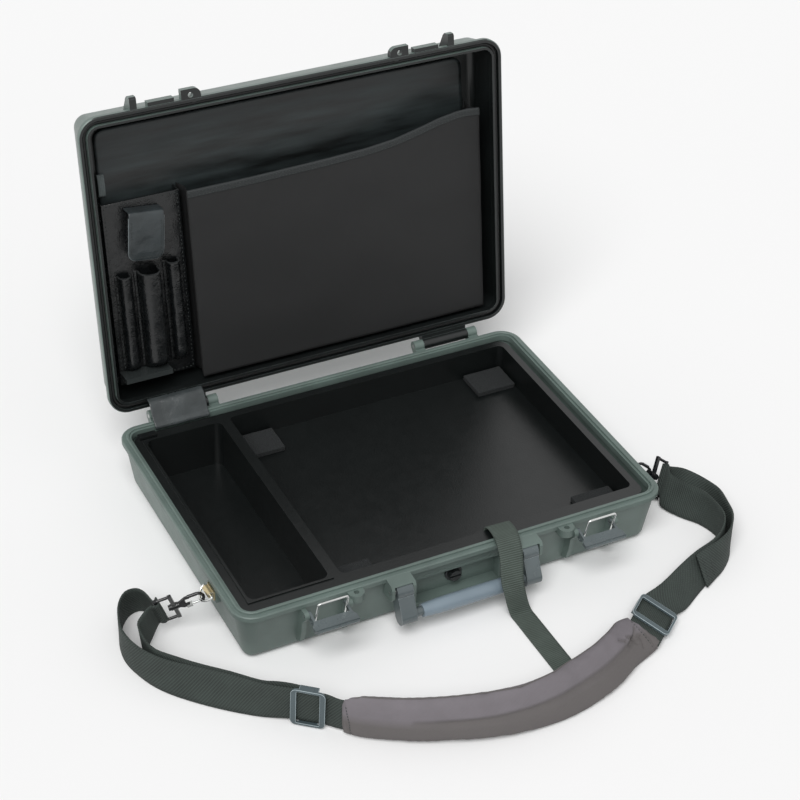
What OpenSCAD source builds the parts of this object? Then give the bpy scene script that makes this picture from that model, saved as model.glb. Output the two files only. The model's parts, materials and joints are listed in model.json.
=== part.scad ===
// Hard case for a portable computer: moulded base and lid on two rear hinges,
// two draw latches, folding handle, insert tray, lid organizer and shoulder strap.
// Millimetres. X is the width, Y runs from the handle side to the hinge side, Z is up.
// The origin is on the underside of the base, at the middle of its footprint.
// The lid is drawn open, as it stands on the table.

/* [Case] */
// Outer width over the rim
case_w = 512; // [480:4:560]
// Outer depth over the rim
case_d = 355; // [340:1:380]
// Height of the base up to its rim
base_h = 68; // [66:1:72]
// Depth of the lid from its rim to its crown
lid_h = 52; // [46:1:60]
// Corner radius of the rim seen from above
rim_r = 24; // [24:1:34]
// Wall thickness of both shells
wall = 4; // [3:0.5:5]
// Draft of the side walls, in degrees
draft = 9; // [5:1:9]
// Angle the lid stands open, in degrees
lid_open = 99; // [60:1:110]

/* [Latches and handle] */
// Distance of each latch from the middle
latch_x = 160; // [150:1:165]
// Distance of each padlock hole from the middle
padlock_x = 126; // [122:1:128]
// Distance of each handle pivot from the middle
handle_x = 76; // [70:1:84]
// Radius of the hand grip
grip_r = 8.6; // [7:0.2:9]

/* [Insert tray] */
// Height of the tray's top flange
tray_z = 65.5; // [60:0.5:66]
// Right edge of the accessory bay
bay_x1 = -141; // [-150:1:-120]
// Depth of the accessory bay floor above the table
bay_floor = 8; // [8:1:30]
// Height of the computer bay floor
comp_floor = 30; // [20:1:40]

/* [Shoulder strap] */
// Width of the strap webbing
web_w = 39; // [38:0.5:46]
// Thickness of the strap webbing
web_t = 1.8; // [1.2:0.2:2.4]
// Thickness of the shoulder pad at its crown
pad_t = 15; // [12:1:18]

/* [Hidden] */
$fn = 48;

flange_z = base_h - 8;          // underside of the base rim flange
gap = 0.3;                      // rim to rim when the lid is shut
hinge_y = case_d / 2 + 10.5;    // hinge axis behind the rim
hinge_z = base_h;
lid_z = base_h + gap;           // rim plane of the shut lid

// Latch geometry in the YZ plane: lever pivot, bail pivot on the lever, bail length
lever_y = -case_d / 2 - 6.5;
lever_z = base_h - 11;
lever_rest = -75;               // lever swung out from the wall
bail_dy = 3.5;
bail_dz = -7.2;
bail_len = 29.1;
bail_rest = 104;                // direction of the open bail, from +Y towards +Z

// Handle pivot and grip centre in the YZ plane
handle_y = -case_d / 2 - 9.5;
handle_z = base_h - 13;
grip_y = handle_y - 11;
grip_z = handle_z - 27;

// Strap rings on the side walls
ring_y = -103;
ring_z = 53;
ring_x = case_w / 2 + 3.5;
ring_tilt = 38;                 // rings point outwards and down

// ---- Helpers

// Points of an arc about (cx, cy)
function arc(cx, cy, r, a0, a1, n) =
    [for (i = [0:n]) let (a = a0 + (a1 - a0) * i / n) [cx + r * cos(a), cy + r * sin(a)]];

function unit(v) = v / norm(v);

// One span of a Catmull-Rom curve; works on vectors of any length
function span(a, b, c, d, t) =
    0.5 * (2 * b + (c - a) * t + (2 * a - 5 * b + 4 * c - d) * t * t
        + (3 * b - a - 3 * c + d) * t * t * t);

// A smooth list of stations through hand-chosen ones, k steps for each span
function smooth(P, k) = concat(
    [for (i = [0:len(P) - 2], j = [0:k - 1])
        span(P[max(i - 1, 0)], P[i], P[i + 1], P[min(i + 2, len(P) - 1)], j / k)],
    [P[len(P) - 1]]);

function lower(s) = [s[0], s[1], s[2]];
function upper(s) = [s[3], s[4], s[5]];
function mid(s) = (lower(s) + upper(s)) / 2;
function along(S, i) = unit(mid(S[min(i + 1, len(S) - 1)]) - mid(S[max(i - 1, 0)]));
function across(s) = unit(upper(s) - lower(s));
function out_of(S, i) = unit(cross(along(S, i), across(S[i])));

// Length of the middle line of a list of stations
function run(S) = len(S) < 2 ? 0
    : [for (i = 0, d = 0; i < len(S); i = i + 1,
        d = d + (i < len(S) ? norm(mid(S[i]) - mid(S[i - 1])) : 0)) d][len(S) - 1];

// Closed skin over rings of m points each, n rings, with fan caps
module skin(rings) {
    n = len(rings);
    m = len(rings[0]);
    polyhedron(
        points = [for (r = rings) each r],
        faces = concat(
            [for (i = [0:n - 2], j = [0:m - 1]) let (k = (j + 1) % m) each
                [[i * m + j, i * m + k, (i + 1) * m + k],
                [i * m + j, (i + 1) * m + k, (i + 1) * m + j]]],
            [for (j = [1:m - 2]) [0, j + 1, j]],
            [for (j = [1:m - 2]) let (o = (n - 1) * m) [o, o + j, o + j + 1]]));
}

// Flat webbing of thickness t that follows stations [lower edge, upper edge]
module webbing(S, t) {
    skin([for (i = [0:len(S) - 1]) let (o = out_of(S, i) * t / 2)
        [lower(S[i]) - o, lower(S[i]) + o, upper(S[i]) + o, upper(S[i]) - o]]);
}

function spow(v, e) = sign(v) * pow(abs(v), e);

// Cushion on stations: full crown in the middle, drawn in towards both ends
module cushion(S, t, m) {
    n = len(S) - 1;
    skin([for (i = [0:n]) let (
            u = i / n,
            e = min(1, min(u, 1 - u) * 9),
            draw = 0.84 + 0.16 * sqrt(1 - pow(1 - e, 2)),
            fat = 0.34 + 0.66 * sqrt(1 - pow(1 - min(1, min(u, 1 - u) * 5), 2)),
            h = (upper(S[i]) - lower(S[i])) / 2 * draw,
            o = out_of(S, i) * t / 2 * fat)
        [for (j = [0:m - 1]) let (a = -360 * j / m)
            mid(S[i]) + h * spow(cos(a), 0.7) + o * spow(sin(a), 0.75)
                * (1 - 0.1 * pow(cos(2 * a) > 0 ? 0 : cos(2 * a), 2))]]);
}

// Sweeps a wall profile round a rounded rectangle. The profile's x runs from the
// corner's axis (0) out to the rim (r), and its y is the height.
module rim_sweep(w, d, r) {
    for (c = [[1, 1, 0], [-1, 1, 90], [-1, -1, 180], [1, -1, 270]])
        translate([c[0] * (w / 2 - r), c[1] * (d / 2 - r), 0])
            rotate([0, 0, c[2]]) rotate_extrude(angle = 90, $fn = 64) children();
    for (s = [[0, w, d], [90, d, w], [180, w, d], [270, d, w]])
        rotate([0, 0, s[0]]) translate([s[1] / 2 - r, 0, 0])
            rotate([90, 0, 0]) linear_extrude(s[2] - 2 * r, center = true) children();
}

// A profile in the YZ plane, extruded along X between two stations
module yz(x0, x1) {
    translate([x0, 0, 0]) rotate([90, 0, 90]) linear_extrude(x1 - x0) children();
}

module rod(p, r, l) {
    translate(p) rotate([0, 90, 0]) cylinder(r = r, h = l, center = true);
}

// Rounded rectangle made of true arcs
module plate2d(w, h, r) {
    square([w - 2 * r, h], center = true);
    square([w, h - 2 * r], center = true);
    for (x = [-1, 1], y = [-1, 1]) translate([x * (w / 2 - r), y * (h / 2 - r)]) circle(r = r);
}

module both() {
    children();
    mirror([1, 0, 0]) children();
}

// Puts a piece drawn on the shut lid (z = 0 on its rim plane) where the open lid stands
module on_lid() {
    translate([0, hinge_y, hinge_z]) rotate([-lid_open, 0, 0])
        translate([0, -hinge_y, lid_z - hinge_z]) children();
}

// ---- Base

base_r = 11;                    // radius between wall and floor
function base_in(z) = 4 + (flange_z - z) * tan(draft);
base_c = rim_r - base_in(base_r * (1 - sin(draft))) - base_r * cos(draft);

module base_profile() {
    polygon(concat(
        [[0, 0]],
        arc(base_c, base_r, base_r, -90, -draft, 6),
        [[rim_r - 4, flange_z], [rim_r, flange_z + 2], [rim_r, base_h - 1], [rim_r - 1, base_h],
        [rim_r - 5.5, base_h], [rim_r - 5.5, base_h + 1.9], [rim_r - 6.1, base_h + 2.5],
        [rim_r - 7.9, base_h + 2.5], [rim_r - 8.5, base_h + 1.9], [rim_r - 8.5, base_h],
        [rim_r - 11, base_h], [rim_r - 11, flange_z + 1],
        [rim_r - base_in(flange_z - 2) - wall / cos(draft), flange_z - 2]],
        arc(base_c, base_r, base_r - wall, -draft, -90, 6),
        [[0, wall]]));
}

// Side plate of a latch housing, with the eye that holds the lever pin
module latch_rib(x) {
    yz(x, x + 5) union() {
        translate([lever_y, lever_z]) circle(r = 5);
        polygon([[-167, flange_z + 0.5], [lever_y, lever_z + 5], [lever_y - 4.8, lever_z - 1.4],
            [-181, 46], [-179, 30], [-175, 15], [-163, 9]]);
    }
}

// Hood over a handle arm, open in front and below
module handle_hood() {
    difference() {
        yz(handle_x - 14, handle_x + 14)
            polygon([[-168, 44], [-188, 44], [-193, 50], [-193, 62], [-190, 66], [-176, base_h - 0.4],
                [-168, base_h - 0.4]]);
        translate([handle_x - 10.5, -200, 30]) cube([21, 200 + handle_y + 9.3, 34.4]);
        rod([handle_x, handle_y, handle_z], 2.5, 40);
    }
}

module base_shell() {
    color("dimgray") difference() {
        union() {
            rim_sweep(case_w, case_d, rim_r) base_profile();
            translate([0, 0, wall / 2])
                cube([case_w - 2 * rim_r, case_d - 2 * rim_r, wall], center = true);
            // housing of the front recess, inside the wall
            translate([-54, -172, 3]) cube([108, 16, 47]);
            both() {
                latch_rib(latch_x + 22.2);
                latch_rib(latch_x - 27.2);
                // padlock lug beside the latch
                translate([padlock_x, -177, flange_z - 3]) linear_extrude(9) union() {
                    translate([0, -3]) circle(r = 9);
                    translate([-9, -3]) square([18, 10]);
                }
                handle_hood();
                // hinge ears
                for (x = [128, 200]) yz(x, x + 12) union() {
                    translate([hinge_y, hinge_z]) circle(r = 6.5);
                    polygon([[hinge_y - 15, hinge_z - 1], [hinge_y, hinge_z - 1],
                        [hinge_y + 4, hinge_z - 5.1], [hinge_y - 16, hinge_z - 26]]);
                }
                // flat pad that carries the strap ring mount
                translate([case_w / 2 - 8, ring_y - 11, ring_z - 9]) cube([7, 22, 14]);
            }
        }
        // front recess and the seat of the purge valve
        translate([-50, -200, 14]) cube([100, 41, 33]);
        translate([0, -165, 31]) rotate([-90, 0, 0]) cylinder(r = 5, h = 20);
        both() {
            rod([latch_x, lever_y, lever_z], 2, 60);
            translate([padlock_x, -181.5, 40]) cylinder(r = 3, h = 40);
            rod([170, hinge_y, hinge_z], 2.5, 120);
        }
        // shallow panel on the underside
        translate([0, 0, -1]) linear_extrude(1.8) plate2d(case_w - 130, case_d - 130, 12);
    }
}

// ---- Lid

lid_r = 12;                     // crown radius
function lid_in(n) = 4 + (n - 8) * tan(draft);
lid_c = rim_r - lid_in(lid_h - lid_r * (1 - sin(draft))) - lid_r * cos(draft);

module lid_profile() {
    polygon(concat(
        [[0, lid_h]],
        arc(lid_c, lid_h - lid_r, lid_r, 90, draft, 6),
        [[rim_r - 4, 8], [rim_r, 6], [rim_r, 1], [rim_r - 1, 0], [rim_r - 4.2, 0],
        [rim_r - 4.2, 6], [rim_r - 9.8, 6], [rim_r - 9.8, 0], [rim_r - 12.5, 0], [rim_r - 12.5, 9],
        [rim_r - lid_in(12) - wall / cos(draft), 12]],
        arc(lid_c, lid_h - lid_r, lid_r - wall, draft, 90, 6),
        [[0, lid_h - wall]]));
}

module lid_shell() {
    color("dimgray") on_lid() difference() {
        union() {
            rim_sweep(case_w, case_d, rim_r) lid_profile();
            translate([0, 0, lid_h - wall / 2])
                cube([case_w - 2 * rim_r, case_d - 2 * rim_r, wall], center = true);
            // stiffening panels on the crown
            for (x = [-138, 0, 138]) translate([x, 0, lid_h - 0.5])
                linear_extrude(2) plate2d(124, case_d - 96, 10);
            both() {
                // catch bar for the latch bail, with its low front lip
                yz(latch_x - 15.2, latch_x + 15.2) polygon([[-174, 1.2], [-182, 1.2], [-182, 10],
                    [-181.4, 10], [-180.9, 9], [-174, 9]]);
                // padlock tab
                translate([padlock_x, -177, 0.3]) linear_extrude(6.7) union() {
                    translate([-4, -3.5]) circle(r = 8);
                    translate([-12, -3.5]) square([23, 7]);
                    translate([-4, -11.5]) square([15, 9]);
                }
                // guard fin beside the latch
                yz(187.4, 195.4) polygon([[-173, 1], [-189, 1], [-191, 3], [-191, 9], [-188, 13],
                    [-171, 24]]);
                // hinge knuckle
                yz(140.4, 199.6) union() {
                    translate([hinge_y, hinge_z - lid_z]) circle(r = 6.5);
                    polygon([[hinge_y - 13.5, 0.4], [hinge_y, 0.4], [hinge_y + 3, 5.4],
                        [hinge_y - 14, 12]]);
                }
            }
        }
        both() {
            translate([padlock_x, -181.5, -5]) cylinder(r = 3, h = 30);
            rod([170, hinge_y, hinge_z - lid_z], 2.55, 80);
        }
    }
}

module lid_seal() {
    color("black") on_lid() rim_sweep(case_w, case_d, rim_r)
        translate([rim_r - 7, 4.35]) circle(r = 1.6, $fn = 24);
}

module hinge_pin() {
    color("silver") rod([170, hinge_y, hinge_z], 2.5, 84);
}
module hinge_pin_left() { mirror([1, 0, 0]) hinge_pin(); }
module hinge_pin_right() { hinge_pin(); }

// ---- Draw latches: a paddle lever on the base and a wire bail that hooks over the lid

// The lever as it lies shut, pivot at the origin, then swung to its rest. Two cheeks
// carry the pivot and the bail, so the bail's arms can pass between them.
module lever() {
    translate([latch_x, lever_y, lever_z]) rotate([lever_rest, 0, 0]) difference() {
        union() {
            for (x = [-22, 19.2]) yz(x, x + 2.8) union() {
                circle(r = 4);
                translate([bail_dy, bail_dz]) circle(r = 2.6);
                polygon([[-4, 0], [3.9, -1], [bail_dy + 2.6, bail_dz], [bail_dy + 1, bail_dz - 3],
                    [-0.8, -14], [-4.4, -14]]);
            }
            intersection() {
                yz(-25, 25) polygon([[-4.4, -11.6], [-0.8, -11.6], [-0.9, -23], [-2.6, -26.6],
                    [-6.8, -28.4], [-8.4, -27], [-5.6, -23.6], [-4.6, -19]]);
                rotate([90, 0, 0]) linear_extrude(60, center = true) union() {
                    polygon([[-22, -11], [22, -11], [22, -13.5], [25, -17.5], [25, -23], [-25, -23],
                        [-25, -17.5], [-22, -13.5]]);
                    translate([-19, -30]) square([38, 8]);
                    for (s = [-1, 1]) translate([s * 19, -23]) circle(r = 6);
                }
            }
        }
        rod([0, 0, 0], 2.05, 60);
        rod([0, bail_dy, bail_dz], 1.25, 60);
        // shallow finger panel in the paddle
        translate([-15, -9, -22]) cube([30, 4.2, 7.5]);
    }
}
module latch_lever_left() { color("slategray") mirror([1, 0, 0]) lever(); }
module latch_lever_right() { color("slategray") lever(); }

// Bail pivot on the lever at rest
bail_y = lever_y + bail_dy * cos(lever_rest) - bail_dz * sin(lever_rest);
bail_z = lever_z + bail_dy * sin(lever_rest) + bail_dz * cos(lever_rest);

// Wire bail: top bar, two arms, and feet bent outwards into the lever's cheeks
module bail() {
    w = 17;
    translate([latch_x, bail_y, bail_z]) rotate([bail_rest - 90, 0, 0]) union() {
        rod([0, 0, bail_len], 1.2, 2 * w - 6);
        for (s = [-1, 1]) {
            translate([s * w, 0, 2]) cylinder(r = 1.2, h = bail_len - 5);
            rod([s * (w + 3.4), 0, 0], 1.2, 2.8);
            translate([s * (w + 2), 0, 2]) rotate([90, 0, 0])
                rotate([0, 0, s > 0 ? 180 : 270]) rotate_extrude(angle = 90)
                    translate([2, 0]) circle(r = 1.2);
            translate([s * (w - 3), 0, bail_len - 3]) rotate([90, 0, 0])
                rotate([0, 0, s > 0 ? 0 : 90]) rotate_extrude(angle = 90)
                    translate([3, 0]) circle(r = 1.2);
        }
    }
}
module latch_bail_left() { color("gainsboro") mirror([1, 0, 0]) bail(); }
module latch_bail_right() { color("gainsboro") bail(); }

// Two short pins, one in each side plate, so that nothing crosses the bail's way
module lever_pin() {
    color("silver") for (s = [-1, 1]) rod([latch_x + s * 23.2, lever_y, lever_z], 2, 8);
}
module lever_pin_left() { mirror([1, 0, 0]) lever_pin(); }
module lever_pin_right() { lever_pin(); }

// ---- Handle

module handle_frame() {
    color("lightsteelblue") difference() {
        union() {
            both() yz(handle_x - 10, handle_x + 8) union() {
                translate([handle_y, handle_z]) circle(r = 9);
                translate([grip_y, grip_z]) circle(r = grip_r + 0.4);
                polygon([[handle_y - 8.4, handle_z - 3.4], [handle_y + 8.3, handle_z - 3.4],
                    [grip_y + 8.3, grip_z - 3.4], [grip_y - 8.3, grip_z + 3.4]]);
            }
            rod([0, grip_y, grip_z], 5, 2 * handle_x - 16);
        }
        both() rod([handle_x, handle_y, handle_z], 2.55, 40);
    }
}

// Soft over-moulded grip, fuller in the middle
module handle_grip() {
    color("lightslategray") translate([0, grip_y, grip_z]) rotate([0, 90, 0]) rotate_extrude()
        polygon(concat([[5, -57]], [for (i = [0:12]) let (x = -57 + 114 * i / 12)
            [grip_r - 1.4 * pow(x / 57, 4), x]], [[5, 57]]));
}

module handle_pin() { color("silver") rod([handle_x, handle_y, handle_z], 2.5, 28); }
module handle_pin_left() { mirror([1, 0, 0]) handle_pin(); }
module handle_pin_right() { handle_pin(); }

// ---- Purge valve in the front recess

module purge_valve_body() {
    color("black") translate([0, -159, 31]) rotate([90, 0, 0]) difference() {
        union() {
            cylinder(r = 10, h = 3);
            translate([0, 0, -6]) cylinder(r = 5, h = 6);
        }
        translate([0, 0, -7]) cylinder(r = 2.55, h = 20);
    }
}

module purge_valve_knob() {
    color("darkslategray") translate([0, -162.3, 31]) rotate([90, 0, 0]) difference() {
        union() {
            cylinder(r = 7, h = 5);
            translate([0, 0, -8]) cylinder(r = 2.5, h = 9);
        }
        translate([-10, -1.2, 3]) cube([20, 2.4, 4]);
        for (a = [0:30:330]) rotate([0, 0, a]) translate([7.6, 0, 1]) cylinder(r = 1.1, h = 6);
    }
}

// ---- Tray insert with an accessory bay and a computer bay

comp = [bay_x1 + 13, 229, -149, 151];   // computer bay: x0, x1, y0, y1
bay = [-232, bay_x1, -149, 146];        // accessory bay

module tray_insert() {
    t = 2.5;
    color("gray") difference() {
        union() {
            // top flange
            translate([(comp[1] - 236) / 2, -2.5, tray_z - t])
                linear_extrude(t) plate2d(comp[1] + 252, 325, 13);
            // the two bays
            translate([bay[0] - t, bay[2] - t, bay_floor - t])
                cube([bay[1] - bay[0] + 2 * t, bay[3] - bay[2] + 2 * t, tray_z - bay_floor + t]);
            translate([comp[0] - t, comp[2] - t, comp_floor - t])
                cube([comp[1] - comp[0] + 2 * t, comp[3] - comp[2] + 2 * t, tray_z - comp_floor + t]);
            // raised lips round the bays
            translate([bay[0] - 3, bay[2] - 3, tray_z - 1]) cube([bay[1] - bay[0] + 6, bay[3] - bay[2] + 6, 2.4]);
            // end block of the rear flange
            translate([-237, 150.5, tray_z - 1]) cube([21, 8, 5]);
            // bearers under the computer bay
            for (x = [-100, 50, 200]) translate([x, -140, wall]) cube([3, 280, comp_floor - wall]);
        }
        translate([bay[0], bay[2], bay_floor]) linear_extrude(80)
            translate([(bay[1] - bay[0]) / 2, (bay[3] - bay[2]) / 2])
                plate2d(bay[1] - bay[0], bay[3] - bay[2], 9);
        translate([comp[0], comp[2], comp_floor]) linear_extrude(80)
            translate([(comp[1] - comp[0]) / 2, (comp[3] - comp[2]) / 2])
                plate2d(comp[1] - comp[0], comp[3] - comp[2], 7);
    }
}

// Foam blocks that hold the computer at the four corners of its bay
module tray_pads() {
    color("darkslategray") for (x = [comp[0] + 2.2, comp[1] - 52.2], y = [comp[2] + 2.2, comp[3] - 42.2])
        translate([x, y, comp_floor]) cube([50, 40, 7]);
}

// Hold-down strap: comes over the rim, lies on the grip and runs out on the table
tray_route = [
    [71, -146.2, 52, 44, -146.2, 52], [72, -147, 64, 43, -147, 65.5], [71.5, -150.5, 69.6, 43, -150.5, 70.6],
    [71, -158, 71.8, 43, -158, 72.2], [69, -170, 74, 41, -170, 74], [66, -183, 73.8, 38, -183, 74.2],
    [62.5, -197.5, 62, 35.5, -196.5, 63], [57, -211, 44, 31, -210, 45], [57, -216, 32, 32, -216, 33],
    [61, -218, 14, 36, -218, 15], [64, -222, 3, 39, -221, 3.5], [65, -232, 1.2, 40, -231, 1.4],
    [65, -260, 1.2, 40, -260, 1.2], [65, -304, 1.2, 40, -308, 1.2]];

module tray_strap() {
    color("black") webbing(smooth(tray_route, 4), 1.6);
}

// Soft cover over the left hinge: from the lid organizer down to the tray
module hinge_cover() {
    color("silver") yz(-213, -147) polygon([[187, 93], [180, 91], [170, 78], [166, 72.5],
        [162.8, 70], [162, 66.2], [163.6, 66.2], [164.4, 69], [167.4, 71.2], [171.4, 77],
        [181, 89.4], [187.6, 91.4]]);
}

// ---- Lid organizer, drawn on the shut lid

module on_organizer() {
    on_lid() children();
}

function s2y(s) = case_d / 2 - s;      // distance from the hinge edge to Y on the shut lid

module lid_lining() {
    color("darkslategray") on_lid() translate([0, 2, lid_h - wall - 4])
        linear_extrude(3.8) plate2d(452, 296, 12);
}

// Top edge of the file pocket, from left to right, as [x, distance from the hinge edge]
pocket_edge = [[-137, 246], [-60, 247], [30, 249], [80, 251], [118, 255], [151, 262], [176, 268],
    [199, 271.5], [215, 272], [230, 270]];

module file_pocket() {
    color("black") on_lid() union() {
        translate([0, 0, 9]) linear_extrude(1.6) polygon(concat(
            [for (p = pocket_edge) [p[0], s2y(p[1])]], [[230, s2y(16)], [-137, s2y(16)]]));
        translate([228.4, s2y(268), 9]) cube([1.6, 252, lid_h - wall - 13.2]);
        translate([-137, s2y(245), 9]) cube([1.6, 229, lid_h - wall - 13.2]);
        translate([-137, s2y(17.6), 9]) cube([367, 1.6, lid_h - wall - 13.2]);
    }
}

// Folded binding along the top edge of the pocket
module pocket_binding() {
    color("dimgray") on_lid() translate([0, 0, 7.6]) linear_extrude(1.4) polygon(concat(
        [for (p = pocket_edge) [p[0], s2y(p[1])]],
        [for (i = [len(pocket_edge) - 1:-1:0]) [pocket_edge[i][0], s2y(pocket_edge[i][1] - 9)]]));
}

module organizer_panel() {
    color("black") on_lid() union() {
        translate([-232, s2y(244), 26]) cube([92, 222, 2]);
        for (x = [-232, -142]) translate([x, s2y(244), 26]) cube([2, 222, lid_h - wall - 30.2]);
    }
}

// Pen or torch sleeve: an open-topped tube against the panel, from s0 up to s1
module sleeve(x, r, s0, s1) {
    color("dimgray") on_lid() translate([x, s2y(s0), 26 - r]) rotate([90, 0, 0]) difference() {
        cylinder(r = r, h = s1 - s0);
        translate([0, 0, 1.5]) cylinder(r = r - 1.3, h = s1 - s0);
    }
}
module pen_sleeve_left() { sleeve(-216, 7.5, 40, 158); }
module torch_sleeve() { sleeve(-188, 12.5, 40, 160); }
module pen_sleeve_right() { sleeve(-158, 7.5, 40, 164); }

module organizer_ledge() {
    color("gray") on_lid() translate([-232, s2y(39.6), 3]) union() {
        cube([56, 3, 23]);
        cube([56, 6, 1.6]);
    }
}

module utility_pouch() {
    color("black") on_lid() translate([-190, s2y(206), 9]) rotate([0, 0, 6]) difference() {
        linear_extrude(17) plate2d(36, 52, 5);
        translate([0, -3, 2]) linear_extrude(13.4) plate2d(32, 54, 3);
    }
}

// Flap over the pouch, hinged along its upper edge
module pouch_flap() {
    color("slategray") on_lid() translate([-190, s2y(206), 0]) rotate([0, 0, 6]) union() {
        translate([0, 0.5, 6.2]) linear_extrude(2.2) plate2d(42, 56, 8);
        translate([-21, -29, 6.2]) cube([42, 2.4, 19]);
    }
}

module elastic_loop() {
    color("gray") on_lid() translate([-228, s2y(274), 40]) union() {
        cube([8, 27, 1.4]);
        translate([0, 1, 1.4]) cube([8, 3, 2.6]);
        translate([0, 23, 1.4]) cube([8, 3, 2.6]);
    }
}

// ---- Strap rings on the sides

module ring_mount() {
    color("lightgray") difference() {
        union() {
            translate([case_w / 2 - 1, ring_y - 9, ring_z - 7]) cube([2, 18, 12]);
            translate([ring_x, ring_y, ring_z]) rotate([90, 0, 0]) cylinder(r = 3.4, h = 15, center = true);
            translate([case_w / 2, ring_y - 7.5, ring_z - 3.4]) cube([3.5, 15, 6.8]);
        }
        translate([ring_x, ring_y, ring_z]) rotate([90, 0, 0]) cylinder(r = 1.55, h = 40, center = true);
    }
}
module ring_mount_left() { mirror([1, 0, 0]) ring_mount(); }
module ring_mount_right() { ring_mount(); }

// D ring: straight bar in the mount and a half ring hanging outwards
module strap_ring() {
    color("silver") translate([ring_x, ring_y, ring_z]) rotate([0, ring_tilt, 0]) union() {
        rotate([90, 0, 0]) cylinder(r = 1.5, h = 22, center = true);
        for (s = [-1, 1]) translate([0, s * 11, 0]) sphere(r = 1.5);
        rotate([0, 0, -90]) rotate_extrude(angle = 180) translate([11, 0]) circle(r = 1.5, $fn = 24);
    }
}
module strap_ring_left() { mirror([1, 0, 0]) strap_ring(); }
module strap_ring_right() { strap_ring(); }

// ---- Snap hooks: eye with a gate, shank, and a loop that turns on the shank's neck

// Local frame: eye centre at the origin, shank along +X, eye in the XZ plane.
// Each hook's shank direction, as a turn about Y and then about Z.
hook_turn = [[0, 16.5, 167], [0, 40, -4]];
eye_r = 6;
loop_x = 42;                    // loop bar from the eye's centre
loop_roll = [-18.5, -34];

function turn_x(v, a) = [v[0], v[1] * cos(a) - v[2] * sin(a), v[1] * sin(a) + v[2] * cos(a)];
function turn_y(v, a) = [v[0] * cos(a) + v[2] * sin(a), v[1], v[2] * cos(a) - v[0] * sin(a)];
function turn_z(v, a) = [v[0] * cos(a) - v[1] * sin(a), v[0] * sin(a) + v[1] * cos(a), v[2]];
function hook_dir(k, v) = turn_z(turn_y(v, hook_turn[k][1]), hook_turn[k][2]);

// The eye passes through the ring midway between its bar and its bow
hook_at = [for (k = [0, 1]) let (s = 2 * k - 1)
    [s * ring_x, ring_y, ring_z] + 6.5 * [s * cos(ring_tilt), 0, -sin(ring_tilt)]
        + hook_dir(k, [eye_r, 0, 0])];

// Point on a circle round the loop's bar, q along the bar, then d along the tangent
function bar_at(k, a, r, q, d) = hook_at[k] + hook_dir(k, turn_x(
    [loop_x + r * cos(a) - d * sin(a), r * sin(a) + d * cos(a), q], loop_roll[k]));
function bar_station(k, a, d = 0) = let (r = 2.5 + web_t / 2, q = web_w / 2 - 0.2)
    concat(bar_at(k, a, r, -q, d), bar_at(k, a, r, q, d));

module at_hook(k) {
    translate(hook_at[k]) rotate(hook_turn[k]) children();
}

module hook() {
    tip = [eye_r * cos(240), 0, eye_r * sin(240)];
    color("black") difference() {
        union() {
            // open eye on a straight spine; the gate closes its lower side
            rotate([90, 0, 0]) rotate([0, 0, 90]) rotate_extrude(angle = 150) translate([eye_r, 0]) circle(r = 1.7);
            translate(tip) sphere(r = 2.1);
            rod([4.75, 0, eye_r], 1.9, 10.5);
            // flat body with the lug that carries the gate
            rotate([90, 0, 0]) linear_extrude(2.8, center = true) polygon([[8.5, 6.6], [13, 6.6], [21, 2.8],
                [21, -2.8], [16, -5.4], [12, -4.6], [13.6, -2], [13.6, 4.3], [8.5, 4.3]]);
            translate([12, 0, -4.6]) rotate([90, 0, 0]) cylinder(r = 2.1, h = 3.2, center = true);
            rod([21.2, 0, 0], 3.4, 1.4);
            rod([26.2, 0, 0], 1.9, 10);
            rod([31.3, 0, 0], 3.2, 2);
        }
        translate([12, 0, -4.6]) rotate([90, 0, 0]) cylinder(r = 1, h = 8, center = true);
    }
}
module hook_left() { at_hook(0) hook(); }
module hook_right() { at_hook(1) hook(); }

// Sprung gate: fork over the lug, with its own pin, and a finger up to the eye's tip
module hook_gate() {
    a = atan2(eye_r * sin(240) + 4.6 + 0.3, eye_r * cos(240) + 2.4 - 12);
    color("silver") translate([12, 0, -4.6]) rotate([0, -a, 0]) union() {
        rotate([90, 0, 0]) cylinder(r = 0.95, h = 5, center = true);
        for (y = [-2.9, 1.8]) translate([-1.4, y, -1.3]) cube([6, 1.1, 2.6]);
        translate([2.9, -2.9, -1.3]) cube([1.7, 5.8, 2.6]);
        translate([4, 0, 0]) rotate([0, 90, 0]) cylinder(r = 1.1, h = 8.3);
    }
}
module hook_gate_left() { at_hook(0) hook_gate(); }
module hook_gate_right() { at_hook(1) hook_gate(); }

// Wire loop for the webbing, with the barrel that the hook's neck turns in
module swivel_loop() {
    h = web_w / 2 + 3.8;
    color("black") difference() {
        union() {
            rod([26.05, 0, 0], 3.8, 7.9);
            for (z = [-1, 1]) {
                translate([24, -1.7, z > 0 ? 2 : -h]) cube([4, 3.4, h - 2]);
                rod([34, 0, z * (h - 1.7)], 1.7, 16);
            }
            translate([loop_x, 0, 0]) cylinder(r = 2, h = 2 * h, center = true);
        }
        rod([26, 0, 0], 1.95, 12);
    }
}
module swivel_loop_left() { at_hook(0) rotate([loop_roll[0], 0, 0]) swivel_loop(); }
module swivel_loop_right() { at_hook(1) rotate([loop_roll[1], 0, 0]) swivel_loop(); }

// ---- Webbing, sliders and shoulder pad

// Stations of the webbing: lower edge x, y, z, then upper edge x, y, z.
// Left: from the slider along the inner ply, round the loop's bar, through a wide curl
// on the table, and back along the outer ply to the pad.
slid_s = [[-223, -274, 4.5, -221.6, -272.6, 43.5], [181.3, -310.5, 7.4, 158.7, -282.1, 21.6]];
slid_t = [unit([0.774, -0.633, 0]), unit([0.78, 0.625, 0])];
// Station of the webbing at a distance d along it from a slider's middle
function slid(k, d) = concat(lower(slid_s[k]) + d * slid_t[k], upper(slid_s[k]) + d * slid_t[k]);

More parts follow.
